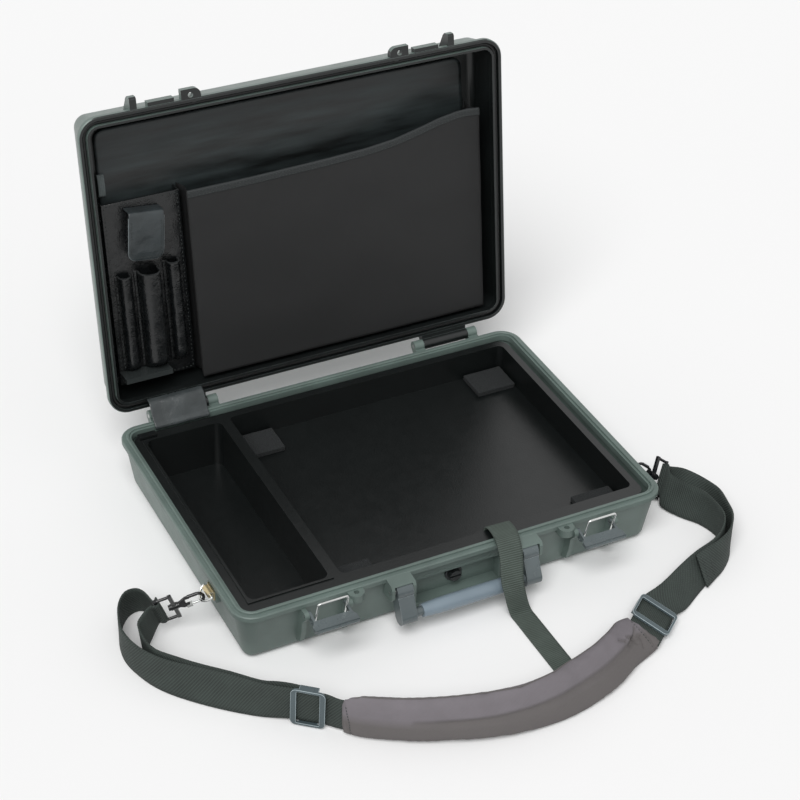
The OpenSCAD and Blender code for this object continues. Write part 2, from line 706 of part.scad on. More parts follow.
left_route = concat([
    [-222.8, -267.3, 4.5, -221.4, -265.9, 43.5], [-234, -259, 3, -231.4, -253.7, 41.5],
    [-246, -251, 1.8, -242.3, -243.2, 39.8], [-261, -242, 1.2, -256.9, -233.4, 39],
    [-285, -221.5, 1.2, -278.4, -206.9, 36.7], [-308, -199, 1.2, -301.5, -184.3, 36.7],
    [-326, -176, 1.2, -321, -164.8, 38.2], [-338, -155, 1.2, -336.3, -147.6, 39.4],
    [-341, -135, 1.4, -340.6, -127.6, 39.4], [-335, -115, 5, -340.1, -110, 43.3],
    [-322, -101, 11, -332.5, -104, 48.4]],
    [bar_station(0, 75, -6), bar_station(0, 75, -2)], [for (a = [75:30:195]) bar_station(0, a)],
    [bar_station(0, 195, 2), bar_station(0, 195, 6)], [
    [-303, -70, 8.5, -313.5, -84, 43.6], [-308, -54, 2.8, -314.8, -63.4, 40],
    [-317, -46, 1.2, -320.6, -53, 39.3], [-331, -51, 1.2, -333.1, -54.1, 40],
    [-344, -67, 1.2, -345.1, -68, 40.1], [-353, -88, 1.2, -353.1, -88, 40.1],
    [-356.5, -110, 1.2, -356.6, -109, 40.1], [-353.5, -132, 1.2, -353.1, -131, 40.1],
    [-345, -156, 1.2, -343.5, -151.9, 39.9], [-331.5, -178, 1.2, -328.3, -170.5, 39.3],
    [-311, -202, 1.2, -304.7, -188.2, 37.1], [-287, -225, 1.2, -280.4, -210.4, 36.7],
    [-261, -246, 1.6, -257.2, -239.5, 39.8]],
    [for (d = [-18, -6, 6, 18]) slid(0, d)], [[-198.6, -296.6, 4.5, -198.4, -296.6, 43.5]]);
// Right: from the pad through the slider, along the table, back to the loop's bar as
// the inner ply, round the bar, and out again to the sewn end on the outside.
right_route = concat([for (d = [-34, -20, -7, 7, 20]) slid(1, d)], [
    [216, -290.3, 2.4, 198.3, -265.7, 26.9], [240, -275.5, 1.2, 230.7, -252.7, 31.4],
    [263, -262, 1.2, 256.7, -243.9, 35.2], [286, -247.5, 1.2, 281.8, -238.6, 38.9],
    [305, -231, 1.2, 303.3, -225.1, 39.7], [315.5, -212.5, 1.2, 317.5, -205.5, 39.5],
    [315.9, -191.6, 1.2, 320.6, -181, 38.4], [309.7, -172.5, 1.2, 319.9, -161.6, 37.2],
    [299.9, -158.4, 1.2, 315, -145.5, 34.8], [290.8, -143, 2, 310, -127, 32],
    [286.1, -129, 3.5, 307.2, -111.8, 31.6]],
    [bar_station(1, 185, 6), bar_station(1, 185, 2)], [for (a = [185:-30:30]) bar_station(1, a)],
    [bar_station(1, 35, -2), bar_station(1, 35, -6)], [
    [305, -131, 5, 322.5, -114, 35.5], [313, -143.5, 4, 330.8, -127, 34.9],
    [319, -158, 3.2, 337.2, -142.2, 34.1], [323, -174, 2.6, 338.5, -165.2, 37.2],
    [324.5, -192, 2.4, 330.8, -192, 40.8], [321.5, -212, 2.2, 323.8, -213, 41.1],
    [310, -234, 2, 307.5, -233, 40.9], [290, -251.8, 1.8, 286.4, -242.8, 39.6],
    [273, -261.5, 2.4, 268.2, -246, 37.9], [257.5, -270, 2.4, 251.5, -250, 35.3]]);
pad_route = [
    [-197.6, -297.2, 2.4, -197.6, -297.2, 48], [-187, -307, 1, -188, -307.5, 55.5],
    [-164, -322.5, 0.8, -165, -323.5, 58.3], [-133, -341, 0.8, -132, -339.5, 58.3], [-92, -359.5, 0.8, -90, -354.5, 58.3],
    [-49.4, -372.5, 0.8, -53.5, -362.5, 58], [-14, -377.5, 0.8, -25, -363, 56.5], [17.5, -378, 0.8, 2.5, -358.5, 55],
    [51.5, -373, 0.8, 32.5, -347.7, 51.5], [88.5, -361, 0.8, 64, -336, 47.5], [118.5, -345, 1.2, 94.5, -319, 41.6],
    [143.5, -334, 3, 116.5, -302, 31], [163, -326.5, 6, 134.8, -292.3, 24.6]];

module strap_web_left() {
    color("darkslategray") webbing(smooth(left_route, 3), web_t);
}
module strap_web_right() {
    color("darkslategray") webbing(smooth(right_route, 3), web_t);
}
module shoulder_pad() {
    color("gray") cushion(smooth(pad_route, 3), pad_t, 16);
}

// Three-bar slider: end bars in front of the webbing, middle bar behind it.
// X is along the webbing, Z across it.
module slider() {
    h = web_w / 2 + 0.6;
    color("darkslategray") union() {
        translate([0, -1.9, 0]) rotate([90, 0, 0]) linear_extrude(3) difference() {
            plate2d(36, 2 * h + 5.2, 6);
            plate2d(24, 2 * h, 1.5);
        }
        for (z = [-1, 1]) translate([0, 1, z * (h + 1.3)]) cube([20, 6.4, 2.6], center = true);
        translate([0, 3.2, 0]) cube([8, 2, 2 * h + 1], center = true);
    }
}

// Rotation that takes X along t and Z near w
function frame_of(t, w) = let (z = unit(w - (w * t) * t), y = cross(z, t))
    [atan2(y[2], z[2]), -asin(t[2]), atan2(t[1], t[0])];

module at_station(s, t) {
    translate(mid(s)) rotate(frame_of(unit(t), across(s))) children();
}
module slider_left() { at_station(slid_s[0], slid_t[0]) slider(); }
module slider_right() { at_station(slid_s[1], slid_t[1]) slider(); }

echo(left_web = run(smooth(left_route, 3)), right_web = run(smooth(right_route, 3)),
    pad = run(smooth(pad_route, 3)), hold_down = run(smooth(tray_route, 4)));

base_shell();
lid_shell();
lid_seal();
hinge_pin_left();
hinge_pin_right();
latch_lever_left();
latch_lever_right();
latch_bail_left();
latch_bail_right();
lever_pin_left();
lever_pin_right();
handle_frame();
handle_grip();
handle_pin_left();
handle_pin_right();
purge_valve_body();
purge_valve_knob();
tray_insert();
tray_pads();
tray_strap();
hinge_cover();
lid_lining();
file_pocket();
pocket_binding();
organizer_panel();
pen_sleeve_left();
torch_sleeve();
pen_sleeve_right();
organizer_ledge();
utility_pouch();
pouch_flap();
elastic_loop();
ring_mount_left();
ring_mount_right();
strap_ring_left();
strap_ring_right();
hook_left();
hook_right();
hook_gate_left();
hook_gate_right();
swivel_loop_left();
swivel_loop_right();
slider_left();
slider_right();
strap_web_left();
strap_web_right();
shoulder_pad();
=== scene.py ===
# %% [markdown]
# # Dressing a hard carrying case
# The solids of the case come from the CAD model and stay where they are. This script
# gives them their finishes, and replaces the soft ones (webbing, pad, lining, pockets)
# with pieces made as such things are made: cloth cut as flat grids and laid along
# their routes, and a pad that is stuffed by simulation.

# %% Load the frame
import json
import math

import bmesh
import bpy
import numpy as np
from mathutils import Matrix, Vector, noise

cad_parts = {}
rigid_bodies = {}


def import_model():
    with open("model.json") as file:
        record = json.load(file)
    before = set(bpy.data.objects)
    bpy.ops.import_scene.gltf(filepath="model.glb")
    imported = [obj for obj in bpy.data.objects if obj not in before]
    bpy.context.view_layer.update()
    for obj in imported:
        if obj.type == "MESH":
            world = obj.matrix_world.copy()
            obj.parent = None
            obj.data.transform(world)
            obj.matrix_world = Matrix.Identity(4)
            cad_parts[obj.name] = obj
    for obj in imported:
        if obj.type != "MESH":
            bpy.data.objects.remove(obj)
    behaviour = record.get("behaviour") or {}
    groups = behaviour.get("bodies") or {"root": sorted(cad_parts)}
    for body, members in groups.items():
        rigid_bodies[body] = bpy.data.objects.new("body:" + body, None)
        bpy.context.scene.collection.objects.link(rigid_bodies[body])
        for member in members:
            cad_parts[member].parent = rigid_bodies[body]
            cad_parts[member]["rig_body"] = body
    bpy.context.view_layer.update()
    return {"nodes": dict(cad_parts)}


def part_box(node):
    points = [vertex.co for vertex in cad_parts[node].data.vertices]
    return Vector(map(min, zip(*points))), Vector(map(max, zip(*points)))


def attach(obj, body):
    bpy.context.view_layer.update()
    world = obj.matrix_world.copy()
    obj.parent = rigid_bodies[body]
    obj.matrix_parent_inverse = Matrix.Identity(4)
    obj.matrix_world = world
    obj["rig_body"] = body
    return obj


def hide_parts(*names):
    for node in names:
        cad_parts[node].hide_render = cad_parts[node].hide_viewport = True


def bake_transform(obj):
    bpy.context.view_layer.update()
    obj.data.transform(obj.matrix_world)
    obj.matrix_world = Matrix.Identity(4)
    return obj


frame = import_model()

nodes = frame["nodes"]
MM = 0.001
scene = bpy.context.scene

# %% [markdown]
# ## Camera
# The photograph looks down on the open case from the left of its handle. The place and
# the lens were found by matching the case's own edges, so a piece that is right in the
# CAD model lands on its own pixels.

# %% Camera
AZIMUTH, ELEVATION, ROLL = (math.radians(a) for a in (-28.0545, 36.2166, 2.281))
FOCAL_PIXELS, FRAME_PIXELS, SENSOR = 2089.58, 800, 36.0

look = Vector((-math.sin(AZIMUTH) * math.cos(ELEVATION),
               math.cos(AZIMUTH) * math.cos(ELEVATION), -math.sin(ELEVATION)))
level = Vector((math.cos(AZIMUTH), math.sin(AZIMUTH), 0))
over = level.cross(look)
right = math.cos(ROLL) * level + math.sin(ROLL) * over
up = math.cos(ROLL) * over - math.sin(ROLL) * level

camera = bpy.data.objects.new("camera", bpy.data.cameras.new("camera"))
scene.collection.objects.link(camera)
camera.matrix_world = (Matrix.Translation((-0.8572, -1.6321, 1.5034))
                       @ Matrix((right, up, -look)).transposed().to_4x4())
camera.data.sensor_width = SENSOR
camera.data.lens = FOCAL_PIXELS / FRAME_PIXELS * SENSOR
camera.data.clip_end = 40
scene.camera = camera
scene.view_settings.view_transform = "Standard"
print("lens:", round(camera.data.lens, 2), "mm")

# %% [markdown]
# ## Finishes
# Every finish is a Principled shader. A small class keeps the wiring short: it adds a
# texture node, mixes two tones with it, or lays it on as relief. Sizes are given in
# metres, because the textures read Object coordinates, and these are metres here.

# %% A finish that is wired one texture at a time
def paint(r, g, b):
    """Screen colour 0 to 255 as linear light, which the shader wants."""
    def linear(c):
        c /= 255
        return c / 12.92 if c <= 0.04045 else ((c + 0.055) / 1.055) ** 2.4
    return (linear(r), linear(g), linear(b), 1)


class Finish:
    def __init__(self, name, rgb, roughness, metallic=0.0, **sockets):
        self.material = bpy.data.materials.new(name)
        self.material.use_nodes = True
        self.tree = self.material.node_tree
        self.shader = self.tree.nodes["Principled BSDF"]
        for key, value in {"Base Color": paint(*rgb), "Roughness": roughness,
                           "Metallic": metallic, **sockets}.items():
            self.shader.inputs[key].default_value = value

    def add(self, kind, settings=None, **inputs):
        node = self.tree.nodes.new("ShaderNode" + kind)
        for key, value in (settings or {}).items():
            setattr(node, key, value)
        for key, value in inputs.items():
            if isinstance(value, bpy.types.NodeSocket):
                self.tree.links.new(value, node.inputs[key])
            else:
                node.inputs[key].default_value = value
        return node

    def where(self, stretch=(1, 1, 1), turn=(0, 0, 0), kind="Object"):
        coords = self.add("TexCoord").outputs[kind]
        return self.add("Mapping", Vector=coords, Scale=stretch, Rotation=turn).outputs["Vector"]

    def clouds(self, size, detail=3.0, vector=None):
        return self.add("TexNoise", Vector=vector or self.where(), Scale=1 / size,
                        Detail=detail).outputs["Fac"]

    def ribs(self, pitch, vector, direction="X"):
        return self.add("TexWave", {"wave_type": "BANDS", "bands_direction": direction},
                        Vector=vector, Scale=math.pi / 10 / pitch).outputs["Fac"]

    def cells(self, size):
        return self.add("TexVoronoi", Vector=self.where(), Scale=1 / size).outputs["Distance"]

    def maths(self, operation, a, b):
        node = self.add("Math", {"operation": operation})
        for socket, value in zip(node.inputs, (a, b)):
            if isinstance(value, bpy.types.NodeSocket):
                self.tree.links.new(value, socket)
            else:
                socket.default_value = value
        return node.outputs[0]

    def tones(self, amount, *stops):
        """Colour from an amount; stops are (place, (r, g, b))."""
        ramp = self.add("ValToRGB", Fac=amount)
        marks = ramp.color_ramp.elements
        while len(marks) < len(stops):
            marks.new(0.5)
        for mark, (place, rgb) in zip(marks, stops):
            mark.position = place
            mark.color = paint(*rgb)
        return ramp.outputs["Color"]

    def mix(self, amount, a, b):
        return self.add("MixRGB", Fac=amount, Color1=a, Color2=b).outputs["Color"]

    def colour(self, socket):
        self.tree.links.new(socket, self.shader.inputs["Base Color"])

    def rough(self, amount, low, high):
        ranged = self.add("MapRange", Value=amount)
        ranged.inputs["To Min"].default_value = low
        ranged.inputs["To Max"].default_value = high
        self.tree.links.new(ranged.outputs["Result"], self.shader.inputs["Roughness"])

    def relief(self, height, depth, strength=1.0):
        bump = self.add("Bump", Height=height, Distance=depth, Strength=strength)
        normal = self.shader.inputs["Normal"]
        if normal.links:
            self.tree.links.new(normal.links[0].from_socket, bump.inputs["Normal"])
        self.tree.links.new(bump.outputs["Normal"], normal)


def shade(rgb, factor):
    return tuple(min(255, c * factor) for c in rgb)


finishes = {}


def moulded(name, rgb, roughness, grain=0.0009, depth=0.00012, vary=0.07, **sockets):
    """Moulded plastic: a fine even grain, and slow drifts of tone and gloss."""
    f = Finish(name, rgb, roughness, **sockets)
    f.colour(f.tones(f.clouds(0.05, 4), (0.3, shade(rgb, 1 - vary)), (0.7, shade(rgb, 1 + vary))))
    f.rough(f.clouds(0.012, 5), roughness - 0.07, roughness + 0.07)
    f.relief(f.clouds(grain, 2), depth)
    finishes[name] = f
    return f


print("finish tools ready")

# %% [markdown]
# ### Plastics
# The case is injection moulded with a spark-eroded surface: matt, slightly mottled, and
# polished where it is handled. The eased edges get a finish of their own, lighter and
# glossier: partly the wear of rubbed corners, partly a painted highlight along the edges.

# %% Plastics
SHELL = (94, 108, 103)
moulded("shell", SHELL, 0.46)
# The _edge finishes are lighter than their bodies: edge wear and painted highlight.
moulded("shell_edge", shade(SHELL, 1.35), 0.36)
moulded("tray", (15, 18, 18), 0.32, grain=0.0014)
moulded("tray_edge", (66, 76, 74), 0.3)
moulded("latch", (82, 91, 93), 0.28, depth=0.00006)
moulded("latch_edge", (138, 149, 151), 0.25)
moulded("handle", (88, 97, 99), 0.26, depth=0.00006)
moulded("handle_edge", (172, 182, 186), 0.2)
moulded("grip", (120, 134, 144), 0.32, grain=0.0006, depth=0.00005, vary=0.03)
moulded("slider", (72, 84, 88), 0.28, depth=0.00006)
moulded("slider_edge", (158, 170, 174), 0.22)
moulded("valve", (24, 27, 28), 0.4)
moulded("ledge", (46, 50, 50), 0.24)
moulded("seal", (15, 16, 16), 0.62, grain=0.0005)

# The lid is moulded in the same plastic. Its inside and its sealing face are smooth, and
# painted almost black: painted shade, as these faces turn away from the light. The inner
# edges are painted lighter, a painted highlight. A point in front of the lid tells the
# sides apart: the normals of the outer faces point away from it.
FRONT_OF_LID = (0, -0.02, 0.28)
for name, outside, inside, gloss in (("lid", SHELL, (18, 21, 21), 0.34),
                                     ("lid_edge", shade(SHELL, 1.35), (92, 102, 100), 0.28)):
    f = moulded(name, outside, gloss)
    coords = f.add("TexCoord")
    away = f.add("VectorMath", {"operation": "SUBTRACT"})
    f.tree.links.new(coords.outputs["Object"], away.inputs[0])
    away.inputs[1].default_value = FRONT_OF_LID
    facing = f.add("VectorMath", {"operation": "DOT_PRODUCT"})
    f.tree.links.new(away.outputs[0], facing.inputs[0])
    f.tree.links.new(coords.outputs["Normal"], facing.inputs[1])
    sides = f.maths("GREATER_THAN", facing.outputs["Value"], 0.0)
    cloudy = f.clouds(0.05, 4)
    # Faces turned towards the front of the lid get the near-black tone, painted shade.
    f.colour(f.mix(sides, f.tones(cloudy, (0.3, shade(inside, 0.85)), (0.7, shade(inside, 1.2))),
                   f.tones(cloudy, (0.3, shade(outside, 0.93)), (0.7, shade(outside, 1.07)))))
print("plastics:", sorted(finishes))

# %% [markdown]
# ### Metals
# Pins and rings are plated steel. Plating mirrors its surroundings, so what makes it
# look real is the roughness: fine drawing marks on wire, and dull smudges on both.

# %% Metals
def metal(name, rgb, roughness, **sockets):
    f = Finish(name, rgb, roughness, metallic=1.0, **sockets)
    f.rough(f.clouds(0.004, 5), roughness * 0.6, roughness * 1.7)
    f.relief(f.clouds(0.0008, 3), 0.00004)
    finishes[name] = f


metal("steel", (176, 178, 176), 0.24)
metal("chrome", (214, 216, 214), 0.12)
metal("brass", (205, 190, 152), 0.3)
# The hook's edge finish is lighter: edge wear and painted highlight.
moulded("hook", (17, 18, 20), 0.24, depth=0.00005)
moulded("hook_edge", (58, 62, 66), 0.2)
print("metals ready")

# %% [markdown]
# ### Cloth, vinyl and foam
# Woven pieces carry their own UV map in metres, along and across the cloth, so that the
# weave turns with the strap. Ribs along and across, multiplied, give the little pillows
# of a plain weave; a turned Mapping gives the diagonal of a twill.

# %% Woven finishes
def woven(name, low, high, pitch, turn=0.0, cross=None, depth=0.0003, roughness=0.8, **sockets):
    f = Finish(name, high, roughness, **sockets)
    cloth = f.where(kind="UV", turn=(0, 0, math.radians(turn)))
    weave = f.ribs(pitch, cloth, "X")
    if cross:
        other = f.maths("MULTIPLY", 0.55, f.ribs(cross, cloth, "Y"))
        weave = f.maths("MULTIPLY", weave, f.maths("ADD", 0.45, other))
    worn = f.clouds(0.018, 4)
    # The tone follows the weave: darker in the grooves between the yarns, painted shade.
    base = f.tones(weave, (0.05, low), (0.85, high))
    f.colour(f.mix(f.maths("MULTIPLY", worn, 0.5), base, paint(*shade(high, 1.25))))
    f.relief(weave, depth)
    f.relief(f.clouds(0.0007, 2), 0.00008)
    finishes[name] = f


woven("webbing", (17, 21, 19), (52, 61, 57), 0.0026, turn=38, cross=0.0019, depth=0.0005)
woven("hold_down", (38, 44, 40), (74, 84, 78), 0.0024, depth=0.0004)
woven("pocket", (5, 6, 6), (14, 15, 16), 0.0012, cross=0.0012, roughness=0.62)
woven("binding", (15, 17, 18), (40, 44, 45), 0.0011, roughness=0.6)
woven("elastic", (52, 58, 58), (104, 112, 112), 0.0014, cross=0.002)
print("woven finishes ready")

# %% Vinyl, lining, pad cloth, foam and thread
def vinyl(name, rgb, roughness):
    f = Finish(name, rgb, roughness)
    f.colour(f.tones(f.clouds(0.03, 4), (0.3, shade(rgb, 0.85)), (0.72, shade(rgb, 1.2))))
    f.rough(f.clouds(0.009, 4), roughness - 0.1, roughness + 0.12)
    f.relief(f.cells(0.0016), 0.00025, 0.7)
    f.relief(f.clouds(0.022, 2), 0.003, 0.6)
    finishes[name] = f


vinyl("vinyl", (14, 16, 17), 0.26)
vinyl("flap", (46, 52, 54), 0.36)
vinyl("cover", (50, 55, 56), 0.3)
# The piping's pale colour is a painted highlight.
vinyl("piping", (104, 112, 114), 0.3)

lining = finishes["lining"] = Finish("lining", (22, 25, 25), 0.42)
streaks = lining.clouds(0.01, 5, lining.where(stretch=(0.12, 1, 1)))
lining.colour(lining.tones(streaks, (0.3, (13, 16, 16)), (0.75, (46, 54, 55))))
lining.rough(streaks, 0.3, 0.6)
lining.relief(lining.clouds(0.0012, 3), 0.00015)

pad_cloth = finishes["pad"] = Finish("pad", (112, 106, 109), 0.85)
# The cover's tone: darker towards the bottom, and darker in the crease and the folds, which is painted
# shade.
half = pad_cloth.add("Attribute", {"attribute_name": "pad_half"}).outputs["Fac"]
tone_and_crease_shade = pad_cloth.tones(half, (0.25, (99, 95, 94)), (0.75, (121, 116, 121)))
fuzz = pad_cloth.clouds(0.022, 5)
mottled = pad_cloth.maths("MULTIPLY", fuzz, 0.45)
pad_cloth.colour(pad_cloth.mix(mottled, tone_and_crease_shade, paint(84, 81, 82)))
pad_cloth.relief(pad_cloth.ribs(0.0012, pad_cloth.where(turn=(0.3, 0.2, 0.5))), 0.00012)
pad_cloth.relief(pad_cloth.clouds(0.0009, 3), 0.00015)

foam = finishes["foam"] = Finish("foam", (36, 40, 42), 0.95)
foam.relief(foam.cells(0.0014), 0.0006)
# The pores are painted darker than the foam: painted shade in the pits of the relief.
foam.colour(foam.tones(foam.cells(0.0014), (0.1, (12, 13, 14)), (0.6, (30, 33, 34))))

for name, rgb in (("thread_dark", (52, 57, 56)), ("thread_light", (128, 134, 132))):
    finishes[name] = Finish(name, rgb, 0.6)
    finishes[name].relief(finishes[name].ribs(0.0004, finishes[name].where()), 0.0001)
print("finishes in all:", len(finishes))

# %% [markdown]
# ## The solids that stay
# Rigid pieces keep their CAD shape. Three modifiers take the machine-cut look off them:
# Weld joins the loose triangles, Bevel eases every sharp edge and gives it the edge
# finish, lighter as edge wear and painted highlight, and Weighted Normal keeps the flats
# flat. The vertices of the solids stay as they came; only their list of materials grows
# by the edge finish.

# %% Give each solid its finish and ease its edges
STAYS = {
    "base_shell": ("shell", "shell_edge", 0.9), "lid_shell": ("lid", "lid_edge", 0.9),
    "lid_seal": ("seal", None, 0), "tray_insert": ("tray", "tray_edge", 0.9),
    "latch_lever": ("latch", "latch_edge", 0.5), "latch_bail": ("chrome", None, 0),
    "lever_pin": ("steel", None, 0), "hinge_pin": ("steel", None, 0),
    "handle_frame": ("handle", "handle_edge", 1.0), "handle_grip": ("grip", None, 0),
    "handle_pin": ("steel", None, 0), "purge_valve_body": ("valve", "hook_edge", 0.5),
    "purge_valve_knob": ("valve", "hook_edge", 0.4), "organizer_ledge": ("ledge", None, 0),
    "ring_mount": ("brass", "steel", 0.4), "strap_ring": ("chrome", None, 0),
    "hook_gate": ("steel", None, 0), "hook": ("hook", "hook_edge", 0.35),
    "swivel_loop": ("hook", "hook_edge", 0.4), "slider": ("slider", "slider_edge", 1.1),
}


def ease_edges(solid, radius):
    """Rounds the sharp edges by radius, in millimetres, with a lighter second finish: edge wear and
    painted highlight.
    """
    weld = solid.modifiers.new("weld", "WELD")
    weld.merge_threshold = 0.00001
    bevel = solid.modifiers.new("ease", "BEVEL")
    bevel.width = radius * MM
    bevel.segments = 2
    bevel.limit_method = "ANGLE"
    bevel.angle_limit = math.radians(38)
    bevel.material = 1
    bevel.harden_normals = False
    solid.modifiers.new("flats", "WEIGHTED_NORMAL").keep_sharp = True


for name, solid in nodes.items():
    kind = next((k for k in sorted(STAYS, key=len, reverse=True) if name.startswith(k)), None)
    if kind is None:
        continue
    main, edge, radius = STAYS[kind]
    solid.material_slots[0].material = finishes[main].material
    if edge:
        solid.data.materials.append(finishes[edge].material)
        ease_edges(solid, radius)
print("solids dressed:", sum(bool(s.modifiers) for s in nodes.values()), "with eased edges")

# %% [markdown]
# ## Making new pieces
# Each new piece starts as a bmesh shape, is bent into place there, and becomes an
# object at the origin that rides on the same body as the solid it belongs to.


def piece(name, bm, finish, node, stands_for=True):
    """Makes the object; it rides with the node's body and takes its slot."""
    mesh = bpy.data.meshes.new(name)
    bm.to_mesh(mesh)
    bm.free()
    mesh.materials.append(finishes[finish].material)
    mesh.shade_smooth()
    made = bpy.data.objects.new(name, mesh)
    scene.collection.objects.link(made)
    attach(made, nodes[node]["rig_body"])
    if stands_for:
        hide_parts(node)
    return made


def catmull(a, b, c, d, t):
    return 0.5 * (2 * b + (c - a) * t + (2 * a - 5 * b + 4 * c - d) * t * t
                  + (3 * b - a - 3 * c + d) * t ** 3)


def smooth(stations, steps):
    """The same curve as the solid's: Catmull-Rom through the stations, in metres."""
    p = [np.array(s, float) * MM for s in stations]
    rows = [catmull(p[max(i - 1, 0)], p[i], p[i + 1], p[min(i + 2, len(p) - 1)], j / steps)
            for i in range(len(p) - 1) for j in range(steps)]
    return np.array(rows + [p[-1]])


def cloth_grid(place, long_cuts, cross_cuts, length, width):
    """A grid whose points go where place(t, w) says, t and w from 0 to 1.
    Its UV map is in metres, along and across the cloth."""
    bm = bmesh.new()
    bmesh.ops.create_grid(bm, x_segments=long_cuts, y_segments=cross_cuts, size=0.5)
    uv = bm.loops.layers.uv.new("cloth")
    spots = {v: (v.co.x + 0.5, v.co.y + 0.5) for v in bm.verts}
    for face in bm.faces:
        for loop in face.loops:
            t, w = spots[loop.vert]
            loop[uv].uv = (t * length, w * width)
    for v, (t, w) in spots.items():
        v.co = place(t, w)
    return bm


def thicken(made, thickness, offset=0.0):
    wall = made.modifiers.new("cloth_thickness", "SOLIDIFY")
    wall.thickness = thickness
    wall.offset = offset
    return made


# %% [markdown]
# ## Shoulder strap
# The webbing stands on its edge on the table, runs round the loops of the two hooks and
# through the sliders. Each station of a route is the lower and the upper edge of the
# web. Webbing is modelled directly, as a grid along the route: simulation would spoil it.

# %% Where the hooks hold the webbing
WEB_W, WEB_T = 39, 1.8
RING = (259.5, -103, 53)
RING_TILT = math.radians(38)
HOOK_TURN = [(16.5, 167), (40, -4)]
LOOP_ROLL = [-18.5, -34]
EYE, LOOP_X = 6, 42


def turned(k, v):
    turn_y, turn_z = (math.radians(a) for a in HOOK_TURN[k])
    return Matrix.Rotation(turn_z, 3, "Z") @ Matrix.Rotation(turn_y, 3, "Y") @ Vector(v)


def hook_place(k):
    side = 2 * k - 1
    ring = Vector((side * RING[0], RING[1], RING[2]))
    hang = 6.5 * Vector((side * math.cos(RING_TILT), 0, -math.sin(RING_TILT)))
    return ring + hang + turned(k, (EYE, 0, 0))


def bar_station(k, angle, lead=0):
    """Station of the web as it rounds the loop's bar, lead mm along the tangent."""
    a, r, q = math.radians(angle), 2.5 + WEB_T / 2, WEB_W / 2 - 0.2
    roll = Matrix.Rotation(math.radians(LOOP_ROLL[k]), 3, "X")
    x, y = r * math.cos(a) - lead * math.sin(a), r * math.sin(a) + lead * math.cos(a)
    edges = [hook_place(k) + turned(k, roll @ Vector((LOOP_X + x, y, z))) for z in (-q, q)]
    return [*edges[0], *edges[1]]


SLIDER_AT = [(-223, -274, 4.5, -221.6, -272.6, 43.5), (181.3, -310.5, 7.4, 158.7, -282.1, 21.6)]
SLIDER_ALONG = [Vector((0.774, -0.633, 0)).normalized(), Vector((0.78, 0.625, 0)).normalized()]


def through_slider(k, d):
    s, t = SLIDER_AT[k], SLIDER_ALONG[k]
    return [*(Vector(s[:3]) + d * t), *(Vector(s[3:]) + d * t)]


print("hooks at", [tuple(round(c, 1) for c in hook_place(k)) for k in (0, 1)])

# %% The two runs of webbing
LEFT_ROUTE = [
    (-222.8, -267.3, 4.5, -221.4, -265.9, 43.5), (-234, -259, 3, -231.4, -253.7, 41.5),
    (-246, -251, 1.8, -242.3, -243.2, 39.8), (-261, -242, 1.2, -256.9, -233.4, 39),
    (-285, -221.5, 1.2, -278.4, -206.9, 36.7), (-308, -199, 1.2, -301.5, -184.3, 36.7),
    (-326, -176, 1.2, -321, -164.8, 38.2), (-338, -155, 1.2, -336.3, -147.6, 39.4),
    (-341, -135, 1.4, -340.6, -127.6, 39.4), (-335, -115, 5, -340.1, -110, 43.3),
    (-322, -101, 11, -332.5, -104, 48.4),
    bar_station(0, 75, -6), bar_station(0, 75, -2),
    *[bar_station(0, a) for a in range(75, 196, 30)],
    bar_station(0, 195, 2), bar_station(0, 195, 6),
    (-303, -70, 8.5, -313.5, -84, 43.6), (-308, -54, 2.8, -314.8, -63.4, 40),
    (-317, -46, 1.2, -320.6, -53, 39.3), (-331, -51, 1.2, -333.1, -54.1, 40),
    (-344, -67, 1.2, -345.1, -68, 40.1), (-353, -88, 1.2, -353.1, -88, 40.1),
    (-356.5, -110, 1.2, -356.6, -109, 40.1), (-353.5, -132, 1.2, -353.1, -131, 40.1),
    (-345, -156, 1.2, -343.5, -151.9, 39.9), (-331.5, -178, 1.2, -328.3, -170.5, 39.3),
    (-311, -202, 1.2, -304.7, -188.2, 37.1), (-287, -225, 1.2, -280.4, -210.4, 36.7),
    (-261, -246, 1.6, -257.2, -239.5, 39.8),
    *[through_slider(0, d) for d in (-18, -6, 6, 18)], (-198.6, -296.6, 4.5, -198.4, -296.6, 43.5),
    (-186, -307.2, 6, -186.5, -307.4, 45)]
RIGHT_ROUTE = [
    *[through_slider(1, d) for d in (-34, -20, -7, 7, 20)],
    (216, -290.3, 2.4, 198.3, -265.7, 26.9), (240, -275.5, 1.2, 230.7, -252.7, 31.4),
    (263, -262, 1.2, 256.7, -243.9, 35.2), (286, -247.5, 1.2, 281.8, -238.6, 38.9),
    (305, -231, 1.2, 303.3, -225.1, 39.7), (315.5, -212.5, 1.2, 317.5, -205.5, 39.5),
    (315.9, -191.6, 1.2, 320.6, -181, 38.4), (309.7, -172.5, 1.2, 319.9, -161.6, 37.2),
    (299.9, -158.4, 1.2, 315, -145.5, 34.8), (290.8, -143, 2, 310, -127, 32),
    (286.1, -129, 3.5, 307.2, -111.8, 31.6),
    bar_station(1, 185, 6), bar_station(1, 185, 2),
    *[bar_station(1, a) for a in range(185, 30, -30)],
    bar_station(1, 35, -2), bar_station(1, 35, -6),
    (305, -131, 5, 322.5, -114, 35.5), (313, -143.5, 4, 330.8, -127, 34.9),
    (319, -158, 3.2, 337.2, -142.2, 34.1), (323, -174, 2.6, 338.5, -165.2, 37.2),
    (324.5, -192, 2.4, 330.8, -192, 40.8), (321.5, -212, 2.2, 323.8, -213, 41.1),
    (310, -234, 2, 307.5, -233, 40.9), (290, -251.8, 1.8, 286.4, -242.8, 39.6),
    (273, -261.5, 2.4, 268.2, -246, 37.9), (257.5, -270, 2.4, 251.5, -250, 35.3)]


